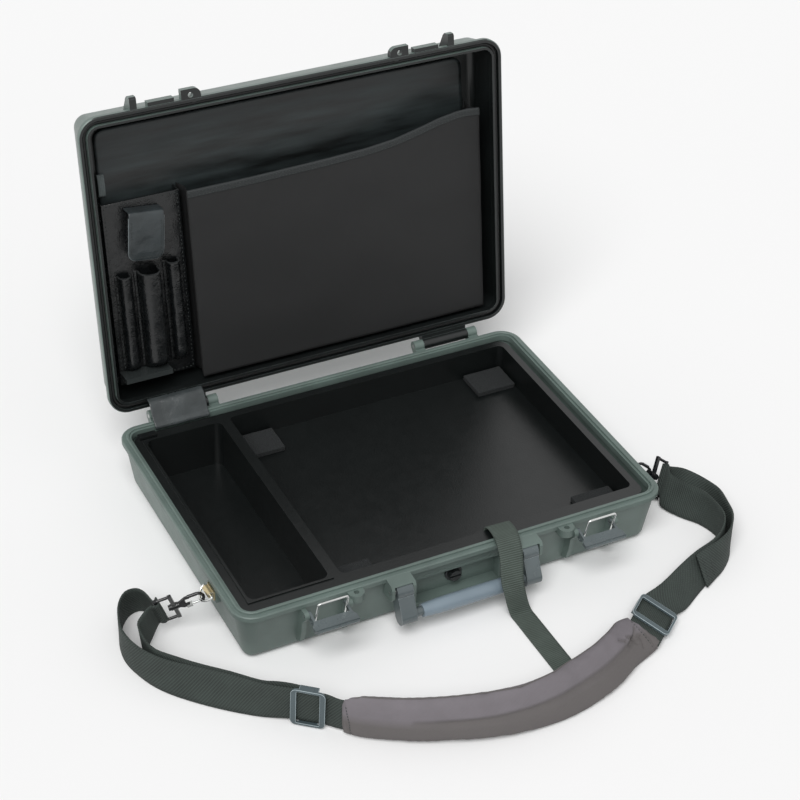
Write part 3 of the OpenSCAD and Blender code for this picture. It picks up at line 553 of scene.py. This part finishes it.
class Run:
    """A strip's rows along its route, and the length down its middle line."""
    def __init__(self, stations, steps=3):
        self.rows = smooth(stations, steps)
        mids = (self.rows[:, :3] + self.rows[:, 3:]) / 2
        self.marks = np.concatenate(([0], np.cumsum(np.linalg.norm(np.diff(mids, axis=0), axis=1))))
        self.length = float(self.marks[-1])

    def at(self, t):
        """Lower and upper edge at t, from 0 to 1 of the length."""
        row = [np.interp(t * self.length, self.marks, self.rows[:, i]) for i in range(6)]
        return Vector(row[:3]), Vector(row[3:])

    def normal(self, t):
        before, after = self.at(max(t - 0.004, 0)), self.at(min(t + 0.004, 1))
        along = (after[0] + after[1]) - (before[0] + before[1])
        low, high = self.at(t)
        return along.cross(high - low).normalized()


def web_piece(name, run, width, thickness, finish, node,
              rows_per_metre=900, ripple=0.0, ribs=None):
    """Webbing along a run. Ripple is the height of slow waves, ribs (pitch, height)."""
    def place(t, w):
        low, high = run.at(t)
        spot = low.lerp(high, w)
        lift = ripple * noise.noise(Vector((t * run.length * 28, w * 1.5, 3.0)))
        if ribs:
            lift += ribs[1] * math.sin(2 * math.pi * t * run.length / ribs[0])
        return spot + run.normal(t) * lift
    bm = cloth_grid(place, int(run.length * rows_per_metre), 8, run.length, width)
    made = piece(name, bm, finish, node)
    thicken(made, thickness * MM)
    print(name, "length", round(run.length, 4), "m")


left_run, right_run = Run(LEFT_ROUTE), Run(RIGHT_ROUTE)
web_piece("webbing_left", left_run, WEB_W * MM, WEB_T, "webbing", "strap_web_left",
          ripple=0.0004)
web_piece("webbing_right", right_run, WEB_W * MM, WEB_T, "webbing", "strap_web_right",
          ripple=0.0004)

# %% [markdown]
# ### Stitches
# A seam is a row of short thread loops, each a squashed ball pulled into the cloth. Twenty
# faces are enough for one; the row is one mesh.

# %% Rows of stitches
def stitch_row(bm, spots, normals, pitch=0.0042, long=0.0028, thick=0.00055):
    """Adds stitches along a line of points, with the cloth's normal at each."""
    spots = [Vector(s) for s in spots]
    marks = [0.0]
    for a, b in zip(spots, spots[1:]):
        marks.append(marks[-1] + (b - a).length)
    count = max(1, int(marks[-1] / pitch))
    for i in range(count):
        d = (i + 0.5) * marks[-1] / count
        j = min(max(j for j in range(len(marks)) if marks[j] <= d), len(spots) - 2)
        along = (spots[j + 1] - spots[j]).normalized()
        spot = spots[j] + along * (d - marks[j])
        out = Vector(normals[j]).normalized()
        side = out.cross(along).normalized()
        out = along.cross(side)
        matrix = Matrix((along * long / 2, side * thick, out * thick * 0.8)).transposed().to_4x4()
        matrix.translation = spot + out * thick * 0.25
        bmesh.ops.create_icosphere(bm, subdivisions=1, radius=1, matrix=matrix)


def seams(name, rows, finish, node, **sizes):
    bm = bmesh.new()
    for spots, normals in rows:
        stitch_row(bm, spots, normals, **sizes)
    count = len(bm.verts) // 12
    made = piece(name, bm, finish, node, stands_for=False)
    print(name, "stitches", count)
    return made


def across_web(run, t, face, inset=0.08):
    """A line of points across the web at t, on its face (+1 or -1)."""
    low, high = run.at(t)
    out = run.normal(t) * face
    lift = out * (WEB_T / 2 * MM)
    return [low.lerp(high, w) + lift for w in (inset, 0.5, 1 - inset)], [out] * 3


end_t = 1 - 0.006 / right_run.length
seams("strap_seams", [across_web(right_run, end_t, f) for f in (1, -1)]
      + [across_web(right_run, end_t - 0.012 / right_run.length, f) for f in (1, -1)]
      + [across_web(left_run, spot, face) for spot, face in ((0.03, 1), (0.955, 1), (0.955, -1))],
      "thread_dark", "strap_web_left")

# %% [markdown]
# ### Shoulder pad
# The pad is a foam core in a cloth cover. It starts as a tube along its route, slightly
# thin, and is stuffed by Blender's Cloth with pressure inside. The long crease, the
# end seam and the folds by the slider are pressed in afterwards, because the remesh
# that simulation needs would wipe them out.

# %% The pad before it is stuffed
PAD_ROUTE = [
    (-197.6, -297.2, 2.4, -197.6, -297.2, 48), (-187, -307, 1, -188, -307.5, 55.5),
    (-164, -322.5, 0.8, -165, -323.5, 58.3), (-133, -341, 0.8, -132, -339.5, 58.3),
    (-92, -359.5, 0.8, -90, -354.5, 58.3), (-49.4, -372.5, 0.8, -53.5, -362.5, 58),
    (-14, -377.5, 0.8, -25, -363, 56.5), (17.5, -378, 0.8, 2.5, -358.5, 55),
    (51.5, -373, 0.8, 32.5, -347.7, 51.5), (88.5, -361, 0.8, 64, -336, 47.5),
    (118.5, -345, 1.2, 94.5, -319, 41.6), (143.5, -334, 3, 116.5, -302, 31),
    (163, -326.5, 6, 134.8, -292.3, 24.6)]
PAD_T, PAD_HALF_HIGH = 15 * MM, 0.029
pad_run = Run(PAD_ROUTE)


def power(v, e):
    return math.copysign(abs(v) ** e, v)


def pad_point(t, angle, fullness):
    """A point on the pad's skin: t along it, and an angle round its section."""
    low, high = pad_run.at(t)
    edge = min(1, min(t, 1 - t) * 9)
    draw = 0.93 + 0.07 * math.sqrt(1 - (1 - edge) ** 2)
    fat = 0.34 + 0.66 * math.sqrt(1 - (1 - min(1, min(t, 1 - t) * 5)) ** 2)
    half_width = (high - low) / 2 * draw * 1.035
    out = pad_run.normal(t) * PAD_T / 2 * fat * fullness
    across, through = power(math.cos(angle), 0.7), power(math.sin(angle), 0.75)
    return (low + high) / 2 + half_width * across + out * through


bm = bmesh.new()
bmesh.ops.create_cone(bm, cap_ends=True, segments=28, radius1=1, radius2=1, depth=1)
lengthwise = [e for e in bm.edges if abs(e.verts[0].co.z - e.verts[1].co.z) > 0.5]
bmesh.ops.subdivide_edges(bm, edges=lengthwise, cuts=70, use_grid_fill=True)
for v in bm.verts:
    v.co = pad_point(v.co.z + 0.5, math.atan2(v.co.y, v.co.x), 0.96)
bmesh.ops.recalc_face_normals(bm, faces=bm.faces[:])
pad = piece("pad_cover", bm, "pad", "shoulder_pad")
print("pad length", round(pad_run.length, 4), "m, points", len(pad.data.vertices))

# %% Stuff it
def settle(made):
    """Puts what the modifiers make into the mesh itself and takes them off."""
    depsgraph = bpy.context.evaluated_depsgraph_get()
    mesh = bpy.data.meshes.new_from_object(made.evaluated_get(depsgraph), depsgraph=depsgraph)
    old = made.data
    made.modifiers.clear()
    made.data = mesh
    bpy.data.meshes.remove(old)
    mesh.shade_smooth()


def points_of(made):
    flat = np.empty(len(made.data.vertices) * 3)
    made.data.vertices.foreach_get("co", flat)
    return flat.reshape(-1, 3)


def stuff(made, voxel, pressure, cap):
    """Cloth with air pressure inside; no point moves further than cap."""
    remesh = made.modifiers.new("remesh", "REMESH")
    remesh.mode = "VOXEL"
    remesh.voxel_size = voxel
    settle(made)
    before = points_of(made)
    cloth = made.modifiers.new("stuffing", "CLOTH")
    cloth.settings.use_pressure = True
    cloth.settings.uniform_pressure_force = pressure
    cloth.settings.effector_weights.gravity = 0
    for f in range(1, 21):
        scene.frame_set(f)
    settle(made)
    scene.frame_set(1)
    after = points_of(made)
    move = after - before
    size = np.linalg.norm(move, axis=1, keepdims=True)
    after = before + move * np.minimum(1, cap / np.maximum(size, 1e-9))
    after[:, 2] = np.maximum(after[:, 2], 0.0004)
    made.data.vertices.foreach_set("co", after.ravel())
    finer = made.modifiers.new("finer", "SUBSURF")
    finer.levels = finer.render_levels = 2
    settle(made)
    print(made.name, "moved up to", round(float(size.max()) * 1000, 1), "mm, points",
          len(made.data.vertices))


stuff(pad, 0.004, 4.0, 0.0025)

# %% Press in the crease, the end seam and the folds
def pad_places(points):
    """For each point: t along the pad, w across it (-1 low, 1 high), and its side."""
    ts = np.linspace(0, 1, 241)
    lows, highs = (np.array([pad_run.at(t)[i] for t in ts]) for i in (0, 1))
    outs = np.array([pad_run.normal(t) for t in ts])
    mids = (lows + highs) / 2
    near = np.array([np.argmin(((mids - p) ** 2).sum(1)) for p in points])
    offset = points - mids[near]
    span = (highs - lows)[near] / 2
    w = (offset * span).sum(1) / (span ** 2).sum(1)
    side = (offset * outs[near]).sum(1)
    return ts[near], w, side, outs[near]


def groove(distance, width):
    return np.exp(-(distance / width) ** 2)


def bent_line(t, w, spots, width):
    """Closeness to a line through (t, w) spots; t counts in pad lengths."""
    best = np.zeros(len(t))
    scale = np.array([pad_run.length, PAD_HALF_HIGH])
    p = np.stack([t, w], 1) * scale
    for a, b in zip(spots, spots[1:]):
        a, b = np.array(a) * scale, np.array(b) * scale
        k = np.clip(((p - a) @ (b - a)) / ((b - a) @ (b - a)), 0, 1)
        gap = np.linalg.norm(p - a - k[:, None] * (b - a), axis=1)
        best = np.maximum(best, groove(gap, width))
    return best


points = points_of(pad)
t, w, side, outs = pad_places(points)
front = np.where(side * np.sign((outs @ np.array(look))) < 0, 1.0, 0.35)
CREASE = [(0.2, 0.0), (0.4, -0.02), (0.55, 0.0), (0.7, 0.03), (0.83, 0.0), (0.95, -0.05)]
crease = bent_line(t, w, CREASE, 0.0042)
crease *= np.clip((t - 0.12) * 6, 0, 1)
folds = sum(bent_line(t, w, line, 0.0022) for line in (
    [(0.9, 0.28), (0.93, 0.02), (0.925, -0.2)], [(0.93, 0.02), (0.965, 0.3)],
    [(0.895, -0.05), (0.93, 0.02)], [(0.86, 0.45), (0.885, 0.2)], [(0.94, -0.5), (0.96, -0.15)]))
end_seam = sum(groove((t - end) * pad_run.length, 0.0016) for end in (0.018, 0.982))
waves = np.array([noise.noise(Vector((a * 16, b * 1.2, 7.0))) for a, b in zip(t, w)])
inward = -np.sign(side)[:, None] * outs
press = (0.0028 * crease + 0.002 * folds + 0.001 * end_seam
         - 0.0007 * waves * np.clip(1.1 - abs(w), 0, 1))
points = points + inward * (press * front)[:, None]
points[:, 2] = np.maximum(points[:, 2], 0.0004)
pad.data.vertices.foreach_set("co", points.ravel())
# Darker towards the bottom, and painted shade in the crease and the folds.
tone = pad.data.attributes.new("pad_half", "FLOAT", "POINT")
fold_shade = 1 - 0.5 * np.clip(crease + folds, 0, 1)
tone.data.foreach_set("value", np.clip(0.5 + w * 1.2, 0, 1) * fold_shade)
pad.data.update()
print("pad: crease, end seams and folds pressed in")

# %% [markdown]
# ### Piping
# The cover's two halves meet in a piped seam along both long edges. A cord in a strip
# of cloth is a round tube, so a bevelled curve makes it.

# %% Piping round the pad
def tube(name, spots, radius, finish, node, cyclic=False):
    curve = bpy.data.curves.new(name, "CURVE")
    curve.dimensions = "3D"
    curve.bevel_depth = radius
    curve.bevel_resolution = 3
    curve.use_fill_caps = True
    line = curve.splines.new("POLY")
    line.points.add(len(spots) - 1)
    for point, spot in zip(line.points, spots):
        point.co = (*spot, 1)
    line.use_cyclic_u = cyclic
    curve.materials.append(finishes[finish].material)
    made = bpy.data.objects.new(name, curve)
    scene.collection.objects.link(made)
    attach(made, nodes[node]["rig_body"])
    return made


def pad_edge(sign):
    """The outermost points of the finished pad, sign 1 along its top, -1 its bottom."""
    spots = []
    for t0 in np.linspace(0.012, 0.988, 90):
        near = np.flatnonzero(abs(t - t0) < 0.007)
        best = near[np.argsort(-sign * w[near])[:4]]
        spots.append(points[best].mean(0))
    spots = np.array(spots)
    for _ in range(4):
        spots[1:-1] = (spots[:-2] + 2 * spots[1:-1] + spots[2:]) / 4
    spots[:, 2] = np.maximum(spots[:, 2], 0.0011)
    return [Vector(s) for s in spots]


def pad_line(t0, across):
    """Points of the pad's face that looks at the camera, at t0 and each w."""
    faces = np.flatnonzero(side > 0)
    far = [((t[faces] - t0) * pad_run.length) ** 2 + ((w[faces] - w0) * PAD_HALF_HIGH) ** 2
           for w0 in across]
    return [Vector(points[faces[np.argmin(f)]]) for f in far]


for name, sign in (("pad_piping_low", -1), ("pad_piping_high", 1)):
    tube(name, pad_edge(sign), 0.0009, "pad", "shoulder_pad")
seams("pad_seam", [(pad_line(end, np.linspace(-0.8, 0.8, 7)), [pad_run.normal(end)] * 7)
                   for end in (0.026, 0.972)],
      "thread_dark", "shoulder_pad", pitch=0.0036)

# %% [markdown]
# ## Hold-down strap
# It comes over the rim of the tray, rests on the hand grip and runs out on the table.
# Its heavy ribs run across it, so they are real relief here.

# %% Hold-down strap
HOLD_ROUTE = [
    (71, -146.2, 52, 44, -146.2, 52), (72, -147, 64, 43, -147, 65.5),
    (71.5, -150.5, 69.6, 43, -150.5, 70.6), (71, -158, 71.8, 43, -158, 72.2),
    (69, -170, 74, 41, -170, 74), (66, -183, 73.8, 38, -183, 74.2),
    (62.5, -197.5, 62, 35.5, -196.5, 63), (57, -211, 44, 31, -210, 45),
    (57, -216, 32, 32, -216, 33), (61, -218, 14, 36, -218, 15),
    (64, -222, 3, 39, -221, 3.5), (65, -232, 1.2, 40, -231, 1.4),
    (65, -260, 1.2, 40, -260, 1.2), (65, -304, 1.2, 40, -308, 1.2),
    (65, -312, 1.2, 40, -317, 1.2)]
hold_run = Run(HOLD_ROUTE, 4)
HOLD_W = 0.026      # m
HOLD_T = 1.6        # mm
web_piece("hold_down_strap", hold_run, HOLD_W, HOLD_T, "hold_down", "tray_strap",
          rows_per_metre=2600, ribs=(0.0024, 0.00014))

# %% [markdown]
# ## Pieces in the lid
# They are drawn on the shut lid, as x across, s from the hinge edge and n into the lid,
# and one matrix stands them up with the open lid.

# %% The lid's own frame
HINGE_Y, HINGE_Z, LID_OPEN, CASE_D = 188 * MM, 68 * MM, 99, 355
ON_LID = (Matrix.Translation((0, HINGE_Y, HINGE_Z)) @ Matrix.Rotation(math.radians(-LID_OPEN), 4, "X")
          @ Matrix.Translation((0, -HINGE_Y, 0.3 * MM)))
TO_VIEWER = (ON_LID.to_3x3() @ Vector((0, 0, -1))).normalized()


def on_lid(x, s, n):
    return ON_LID @ Vector((x * MM, (CASE_D / 2 - s) * MM, n * MM))


def lid_sheet(name, place, size, cuts, finish, node, thickness, held="stretched", **options):
    """A sheet whose place(t, w) gives x, s and n; size is its flat size in metres."""
    bm = cloth_grid(lambda t, w: on_lid(*place(t, w)), cuts[0], cuts[1], *size)
    made = piece(name, bm, finish, node, **options)
    thicken(made, thickness)
    return made


print("towards the viewer:", tuple(round(c, 3) for c in TO_VIEWER))

# %% [markdown]
# ### Lining
# A sheet of soft black vinyl glued inside the crown of the lid. It has rounded corners,
# so the grid's corner squares are drawn in onto arcs, and it never lies dead flat.

# %% Lid lining
def rounded(t, w, width, height, radius):
    """Maps the unit square onto a rectangle with round corners, centred on 0, 0."""
    x, y = (t - 0.5) * width, (w - 0.5) * height
    dx, dy = abs(x) - (width / 2 - radius), abs(y) - (height / 2 - radius)
    if dx > 0 and dy > 0:
        pull = max(dx, dy) / math.hypot(dx, dy)
        x = math.copysign(width / 2 - radius + dx * pull, x)
        y = math.copysign(height / 2 - radius + dy * pull, y)
    return x, y


def lining_place(t, w):
    x, y = rounded(t, w, 452, 296, 12)
    soft = noise.noise(Vector((x * 0.02, y * 0.05, 1.0)))
    return x, CASE_D / 2 - y - 2, 44.8 + 0.7 * soft


lid_sheet("lining_sheet", lining_place, (0.452, 0.296), (110, 72), "lining", "lid_lining", 0.0012)
print("lining made")

# %% [markdown]
# ### File pocket
# A wide pocket of coated nylon with a folded binding along its top edge. The panel
# bellies a little, as a used pocket does, and its sides are gussets with one fold.

# %% File pocket panel, gusset and binding
POCKET_EDGE = [(-137, 246), (-60, 247), (30, 249), (80, 251), (118, 255), (151, 262), (176, 268),
               (199, 271.5), (215, 272), (230, 270)]


def pocket_top(x):
    return float(np.interp(x, [p[0] for p in POCKET_EDGE], [p[1] for p in POCKET_EDGE]))


def pocket_place(t, w):
    x = -137 + 367 * t
    s = 16 + (pocket_top(x) - 16) * w
    belly = 2.6 * max(0, math.sin(math.pi * t)) ** 0.7 * math.sin(math.pi * min(w * 0.62 + 0.1, 1))
    soft = 0.9 * noise.noise(Vector((x * 0.012, s * 0.02, 2.0)))
    return x, s, 9.9 - belly - soft


lid_sheet("pocket_panel", pocket_place, (0.367, 0.24), (120, 80), "pocket", "file_pocket", 0.0012)


def gusset_place(t, w):
    corners = [(-137, 245), (-137, 17), (229.5, 17), (229.5, 268)]
    marks = [0, 228, 594.5, 845.5]
    d = t * marks[-1]
    x = np.interp(d, marks, [c[0] for c in corners])
    s = np.interp(d, marks, [c[1] for c in corners])
    fold = 4 * (1 - abs(2 * w - 1))
    inward = (fold if t < 0.27 else -fold if t > 0.703 else 0)
    return float(x) + inward, float(s) + (fold if 0.27 <= t <= 0.703 else 0), 10 + 33.5 * w


lid_sheet("pocket_gusset", gusset_place, (0.8455, 0.0345), (160, 6), "pocket", "file_pocket", 0.001,
          held="folded", stands_for=False)


def binding_place(t, w):
    x, s, n = pocket_place(t, 1)
    down, side = 9 * abs(2 * w - 1) ** 0.9, math.copysign(min(1, abs(2 * w - 1) * 6), w - 0.5)
    return x, s + 0.6 - down, n + 0.95 * side


lid_sheet("pocket_binding_tape", binding_place, (0.369, 0.018), (140, 20), "binding", "pocket_binding",
          0.0006, held="folded")
rows = [[on_lid(x, s - inset, n - 1.35) for x, s, n in (pocket_place(i / 90, 1) for i in range(91))]
        for inset in (2.6, 6.6)]
seams("pocket_stitches", [(r, [TO_VIEWER] * len(r)) for r in rows],
      "thread_dark", "pocket_binding", pitch=0.004)

# %% [markdown]
# ### Organizer
# A stiff panel covered in vinyl carries two narrow sleeves, a wide one and a small
# pouch. A sleeve is a strip of vinyl sewn down along both sides: its section is an
# arch with two flanges, and its foot is gathered to the panel.

# %% Organizer panel
def board(bm, x, s, n, size, ease):
    """A cuboid with eased edges, centred at x, s, n, sizes in millimetres."""
    made = bmesh.ops.create_cube(bm, size=1)["verts"]
    bmesh.ops.scale(bm, vec=[c * MM for c in size], verts=made)
    edges = {e for v in made for e in v.link_edges}
    eased = bmesh.ops.bevel(bm, geom=list(edges), offset=ease * MM, segments=3, profile=0.5,
                            affect="EDGES", material=-1)["verts"]
    own = {v for v in made if v.is_valid} | set(eased)
    bmesh.ops.translate(bm, vec=(x * MM, (CASE_D / 2 - s) * MM, n * MM), verts=list(own))
    bmesh.ops.transform(bm, matrix=ON_LID, verts=list(own))


bm = bmesh.new()
board(bm, -186, 133, 27, (92, 222, 2), 0.9)
for x in (-231, -141):
    board(bm, x, 133, 35.6, (2, 222, 15.6), 0.7)
piece("organizer_board", bm, "vinyl", "organizer_panel")
border = [(-229, 25), (-229, 241), (-143, 241), (-143, 25), (-229, 25)]
line = [on_lid(x, s, 25.95) for x, s in border]
seams("organizer_stitches", [(line, [TO_VIEWER] * 5)], "thread_dark", "organizer_panel", pitch=0.005)

# %% The three sleeves
SLEEVES = {"pen_sleeve_left": (-216, 7.5, 40, 158), "torch_sleeve": (-188, 12.5, 40, 160),
           "pen_sleeve_right": (-158, 7.5, 40, 164)}


FLANGE, WALL_SHARE = 3.4, 0.9      # mm of flange, and straight wall as a share of the radius


def sleeve_section(u, r):
    """Arch with flanges: offset across and height over the panel, u from 0 to 1."""
    flange, wall_up = FLANGE, r * WALL_SHARE
    arch = math.pi * r
    total = 2 * flange + 2 * wall_up + arch
    d = u * total
    if d < flange:
        return -r - flange + d, 0.5
    if d < flange + wall_up:
        return -r, 0.5 + (d - flange)
    if d < flange + wall_up + arch:
        a = (d - flange - wall_up) / r
        return -r * math.cos(a), 0.5 + wall_up + r * math.sin(a)
    if d < total - flange:
        return r, 0.5 + (total - flange - d)
    return r + (d - (total - flange)), 0.5


for node, (x, r, s0, s1) in SLEEVES.items():
    r -= 0.7
    around = 2 * FLANGE + 2 * WALL_SHARE * r + math.pi * r

    def sleeve_place(t, w, x=x, r=r, s0=s0, s1=s1):
        dx, lift = sleeve_section(w, r)
        gather = min(1, 0.3 + 0.7 * math.sin(min(1, t * 9) * math.pi / 2))
        soft = 0.25 * noise.noise(Vector((x + dx * 0.2, t * 9, 5.0)))
        return x + dx, s0 + (s1 - s0) * t, 26 - 0.3 - (lift + soft) * (gather if lift > 0.6 else 1)
    lid_sheet(node + "_cover", sleeve_place, ((s1 - s0) * MM, around * MM), (70, 44),
              "vinyl", node, 0.001)
    rim = [on_lid(x + dx, s1, 26 - 0.3 - lift)
           for dx, lift in (sleeve_section(i / 40, r) for i in range(4, 37))]
    tube(node + "_mouth", rim, 0.0009, "binding", node)
    rows = [([on_lid(x + f * (r + 1.9), s, 24.75) for s in range(s0 + 2, s1, 6)],
             [TO_VIEWER] * 30) for f in (-1, 1)]
    seams(node + "_stitches", [(spots, normals[:len(spots)]) for spots, normals in rows],
          "thread_dark", node, pitch=0.0046)

# %% [markdown]
# ### Pouch
# A small box pouch with a padded flap that folds over its mouth. The flap is one strip
# of vinyl: down the back, over the top and down the front to a rounded end, with a
# piped edge painted pale, a painted highlight.

# %% Pouch body
POUCH_AT = (-190, 206, 6)


def at_pouch(x, y, n):
    """Pouch coordinates: x across, y towards the hinge, n into the lid."""
    px, ps, turn = POUCH_AT
    c, s = math.cos(math.radians(turn)), math.sin(math.radians(turn))
    return on_lid(px + x * c - y * s, ps - (x * s + y * c), n)


bm = bmesh.new()
bmesh.ops.create_cube(bm, size=1)
mouth = [f for f in bm.faces if f.normal.y < -0.5]
bmesh.ops.delete(bm, geom=mouth, context="FACES")
bmesh.ops.subdivide_edges(bm, edges=bm.edges[:], cuts=7, use_grid_fill=True)
for v in bm.verts:
    x, y, z = (2 * c for c in v.co)
    x, z = (x * math.sqrt(1 - z * z * 0.28), z * math.sqrt(1 - x * x * 0.22))
    puff = 1 + 0.05 * (1 - y * y)
    v.co = at_pouch(17.6 * x * puff, 26 * y, 17.5 + 8.2 * z)
bmesh.ops.recalc_face_normals(bm, faces=bm.faces[:])
pouch = piece("pouch_body", bm, "vinyl", "utility_pouch")
thicken(pouch, 0.0016, -1)
print("pouch body faces", len(pouch.data.polygons))

# %% Pouch flap with its piping
FLAP_LINE = [(-27.8, 25), (-28, 18), (-28.2, 12), (-27.6, 8.4), (-25, 6.9), (-20, 6.6),
             (0, 6.3), (14, 6.5), (28, 7.4)]
flap_steps = [math.dist(a, b) for a, b in zip(FLAP_LINE, FLAP_LINE[1:])]
flap_marks = np.concatenate(([0], np.cumsum(flap_steps)))
FLAP_LONG = float(flap_marks[-1])


def flap_at(d, across, lift=0.0):
    """d mm along the flap, across from -1 to 1, lifted off towards the viewer."""
    y, n = (float(np.interp(d, flap_marks, [p[i] for p in FLAP_LINE])) for i in (0, 1))
    left = FLAP_LONG - d
    half = 10.4 + math.sqrt(100 - (10 - min(left, 10)) ** 2)
    crown = 0.9 * (1 - across ** 4) * min(1, left / 10) * min(1, max(0, d - 20) / 10)
    return at_pouch(half * across, y, n - crown - lift)


bm = cloth_grid(lambda t, w: flap_at(t * (FLAP_LONG - 0.4), 2 * w - 1), 60, 30,
                FLAP_LONG * MM, 0.0408)
flap = piece("flap_cover", bm, "flap", "pouch_flap")
thicken(flap, 0.0016, 0)
rim = ([flap_at(d, -1) for d in np.linspace(22, FLAP_LONG - 0.5, 30)]
       + [flap_at(FLAP_LONG - 0.5, a) for a in np.linspace(-0.9, 0.9, 7)]
       + [flap_at(d, 1) for d in np.linspace(FLAP_LONG - 0.5, 22, 30)])
# The pale piping along the flap's edge is a painted highlight.
tube("flap_piping", rim, 0.0008, "piping", "pouch_flap")
inner = ([flap_at(d, -0.86, 1.0) for d in np.linspace(26, FLAP_LONG - 4, 14)]
         + [flap_at(FLAP_LONG - 3.4, a, 1.0) for a in np.linspace(-0.6, 0.6, 5)]
         + [flap_at(d, 0.86, 1.0) for d in np.linspace(FLAP_LONG - 4, 26, 14)])
seams("flap_stitches", [(inner, [TO_VIEWER] * len(inner))],
      "thread_dark", "pouch_flap", pitch=0.0034, thick=0.0004)

# %% Elastic loop beside the pouch
loop_line = [(1, 44), (1.4, 41.4), (4, 40.5), (13, 40.2), (22, 40.5), (25.6, 41.4), (26, 44)]
loop_run = Run([tuple(c / MM for x in (-228, -220) for c in on_lid(x, 274 - y, n))
                for y, n in loop_line], 4)


def loop_place(t, w):
    low, high = loop_run.at(t)
    return low.lerp(high, w)


bm = cloth_grid(loop_place, 60, 6, loop_run.length, 0.008)
elastic = piece("elastic_band", bm, "elastic", "elastic_loop")
thicken(elastic, 0.0011)
print("elastic band", round(loop_run.length * 1000, 1), "mm")

# %% [markdown]
# ## Hinge cover
# A soft vinyl flap bridges the gap over the left hinge, from the organizer down to the
# tray. It is fixed to both.

# %% Hinge cover
COVER_LINE = [(187.3, 92.2), (180.5, 90.2), (175, 84), (170.7, 77.5), (166.7, 71.9),
              (163.6, 69.6), (162.8, 66.4)]
cover_run = Run([(-213, y, z, -147, y, z) for y, z in COVER_LINE], 4)


def cover_place(t, w):
    low, high = cover_run.at(t)
    crumple = (0.0014 * noise.noise(Vector((w * 2.6, t * 1.6, 9.0)))
               + 0.0003 * noise.noise(Vector((w * 7, t * 4, 4.0))))
    held = math.sin(math.pi * min(1, max(0, t))) ** 0.5
    return low.lerp(high, w) + cover_run.normal(t) * crumple * held


bm = cloth_grid(cover_place, 44, 56, cover_run.length, 0.066)
mesh = bpy.data.meshes.new("hinge_cover_vinyl")
bm.to_mesh(mesh)
bm.free()
mesh.materials.append(finishes["cover"].material)
cover = bpy.data.objects.new("hinge_cover_vinyl", mesh)
scene.collection.objects.link(cover)
thicken(cover, 0.0013)
settle(cover)
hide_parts("hinge_cover")
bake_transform(cover)
print("hinge cover", round(cover_run.length * 1000, 1), "mm long")

# %% [markdown]
# ## Foam blocks in the wide bay
# Four blocks of cut foam pad the corners of the wide bay. Knife-cut foam has soft edges
# and a slightly uneven face.

# %% Foam blocks
bm = bmesh.new()
low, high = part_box("tray_pads")
size = Vector((0.05, 0.04, 0.007))
for x in (low.x, high.x - size.x):
    for y in (low.y, high.y - size.y):
        made = bmesh.ops.create_cube(bm, size=1)["verts"]
        bmesh.ops.scale(bm, vec=size * 0.99, verts=made)
        edges = {e for v in made for e in v.link_edges}
        eased = bmesh.ops.bevel(bm, geom=list(edges), offset=0.0012, segments=3, profile=0.5,
                                affect="EDGES", material=-1)["verts"]
        own = list({v for v in made if v.is_valid} | set(eased))
        bmesh.ops.translate(bm, vec=Vector((x, y, low.z)) + size / 2, verts=own)
bmesh.ops.subdivide_edges(bm, edges=[e for e in bm.edges if e.calc_length() > 0.004],
                          cuts=9, use_grid_fill=True)
for v in bm.verts:
    v.co += v.normal * 0.0003 * noise.noise(v.co * 180)
blocks = piece("foam_blocks", bm, "foam", "tray_pads")
print("foam blocks, faces", len(blocks.data.polygons))

# %% [markdown]
# ## Floor and light
# A pale floor that keeps the case's soft shadow, a broad sun from the front left and an
# even sky. Their levels are set so that the shell's colour renders about as written.

# %% Floor, lamps and sky
bm = bmesh.new()
bmesh.ops.create_grid(bm, x_segments=1, y_segments=1, size=9)
mesh = bpy.data.meshes.new("floor")
bm.to_mesh(mesh)
bm.free()
floor = bpy.data.objects.new("floor", mesh)
scene.collection.objects.link(floor)
paper = Finish("paper", (247, 247, 247), 0.9)
paper.shader.inputs["Specular IOR Level"].default_value = 0.0
mesh.materials.append(paper.material)

sky = bpy.data.worlds.new("sky")
sky.use_nodes = True
scene.world = sky
sky_nodes, sky_links = sky.node_tree.nodes, sky.node_tree.links
seen = sky_nodes.new("ShaderNodeLightPath")
back = sky_nodes["Background"]
SKY_LEVEL = 0.42


def brighter(a, b):
    node = sky_nodes.new("ShaderNodeMath")
    node.operation = "MAXIMUM"
    sky_links.new(a, node.inputs[0])
    sky_links.new(b, node.inputs[1])
    return node.outputs[0]


pale = brighter(brighter(seen.outputs["Is Camera Ray"], seen.outputs["Is Glossy Ray"]),
                seen.outputs["Is Transmission Ray"])
level_of = sky_nodes.new("ShaderNodeMapRange")
level_of.inputs["To Min"].default_value = SKY_LEVEL
level_of.inputs["To Max"].default_value = 0.93
sky_links.new(pale, level_of.inputs["Value"])
sky_links.new(level_of.outputs["Result"], back.inputs["Strength"])
back.inputs["Color"].default_value = (1, 1, 1, 1)


def sun(name, direction, level, spread):
    lamp = bpy.data.lights.new(name, "SUN")
    lamp.energy = level
    lamp.angle = math.radians(spread)
    holder = bpy.data.objects.new(name, lamp)
    holder.rotation_euler = Vector(direction).to_track_quat("-Z", "Y").to_euler()
    scene.collection.objects.link(holder)


sun("key", (0.45, 0.55, -1.0), 2.3, 40)
print("floor and light ready")
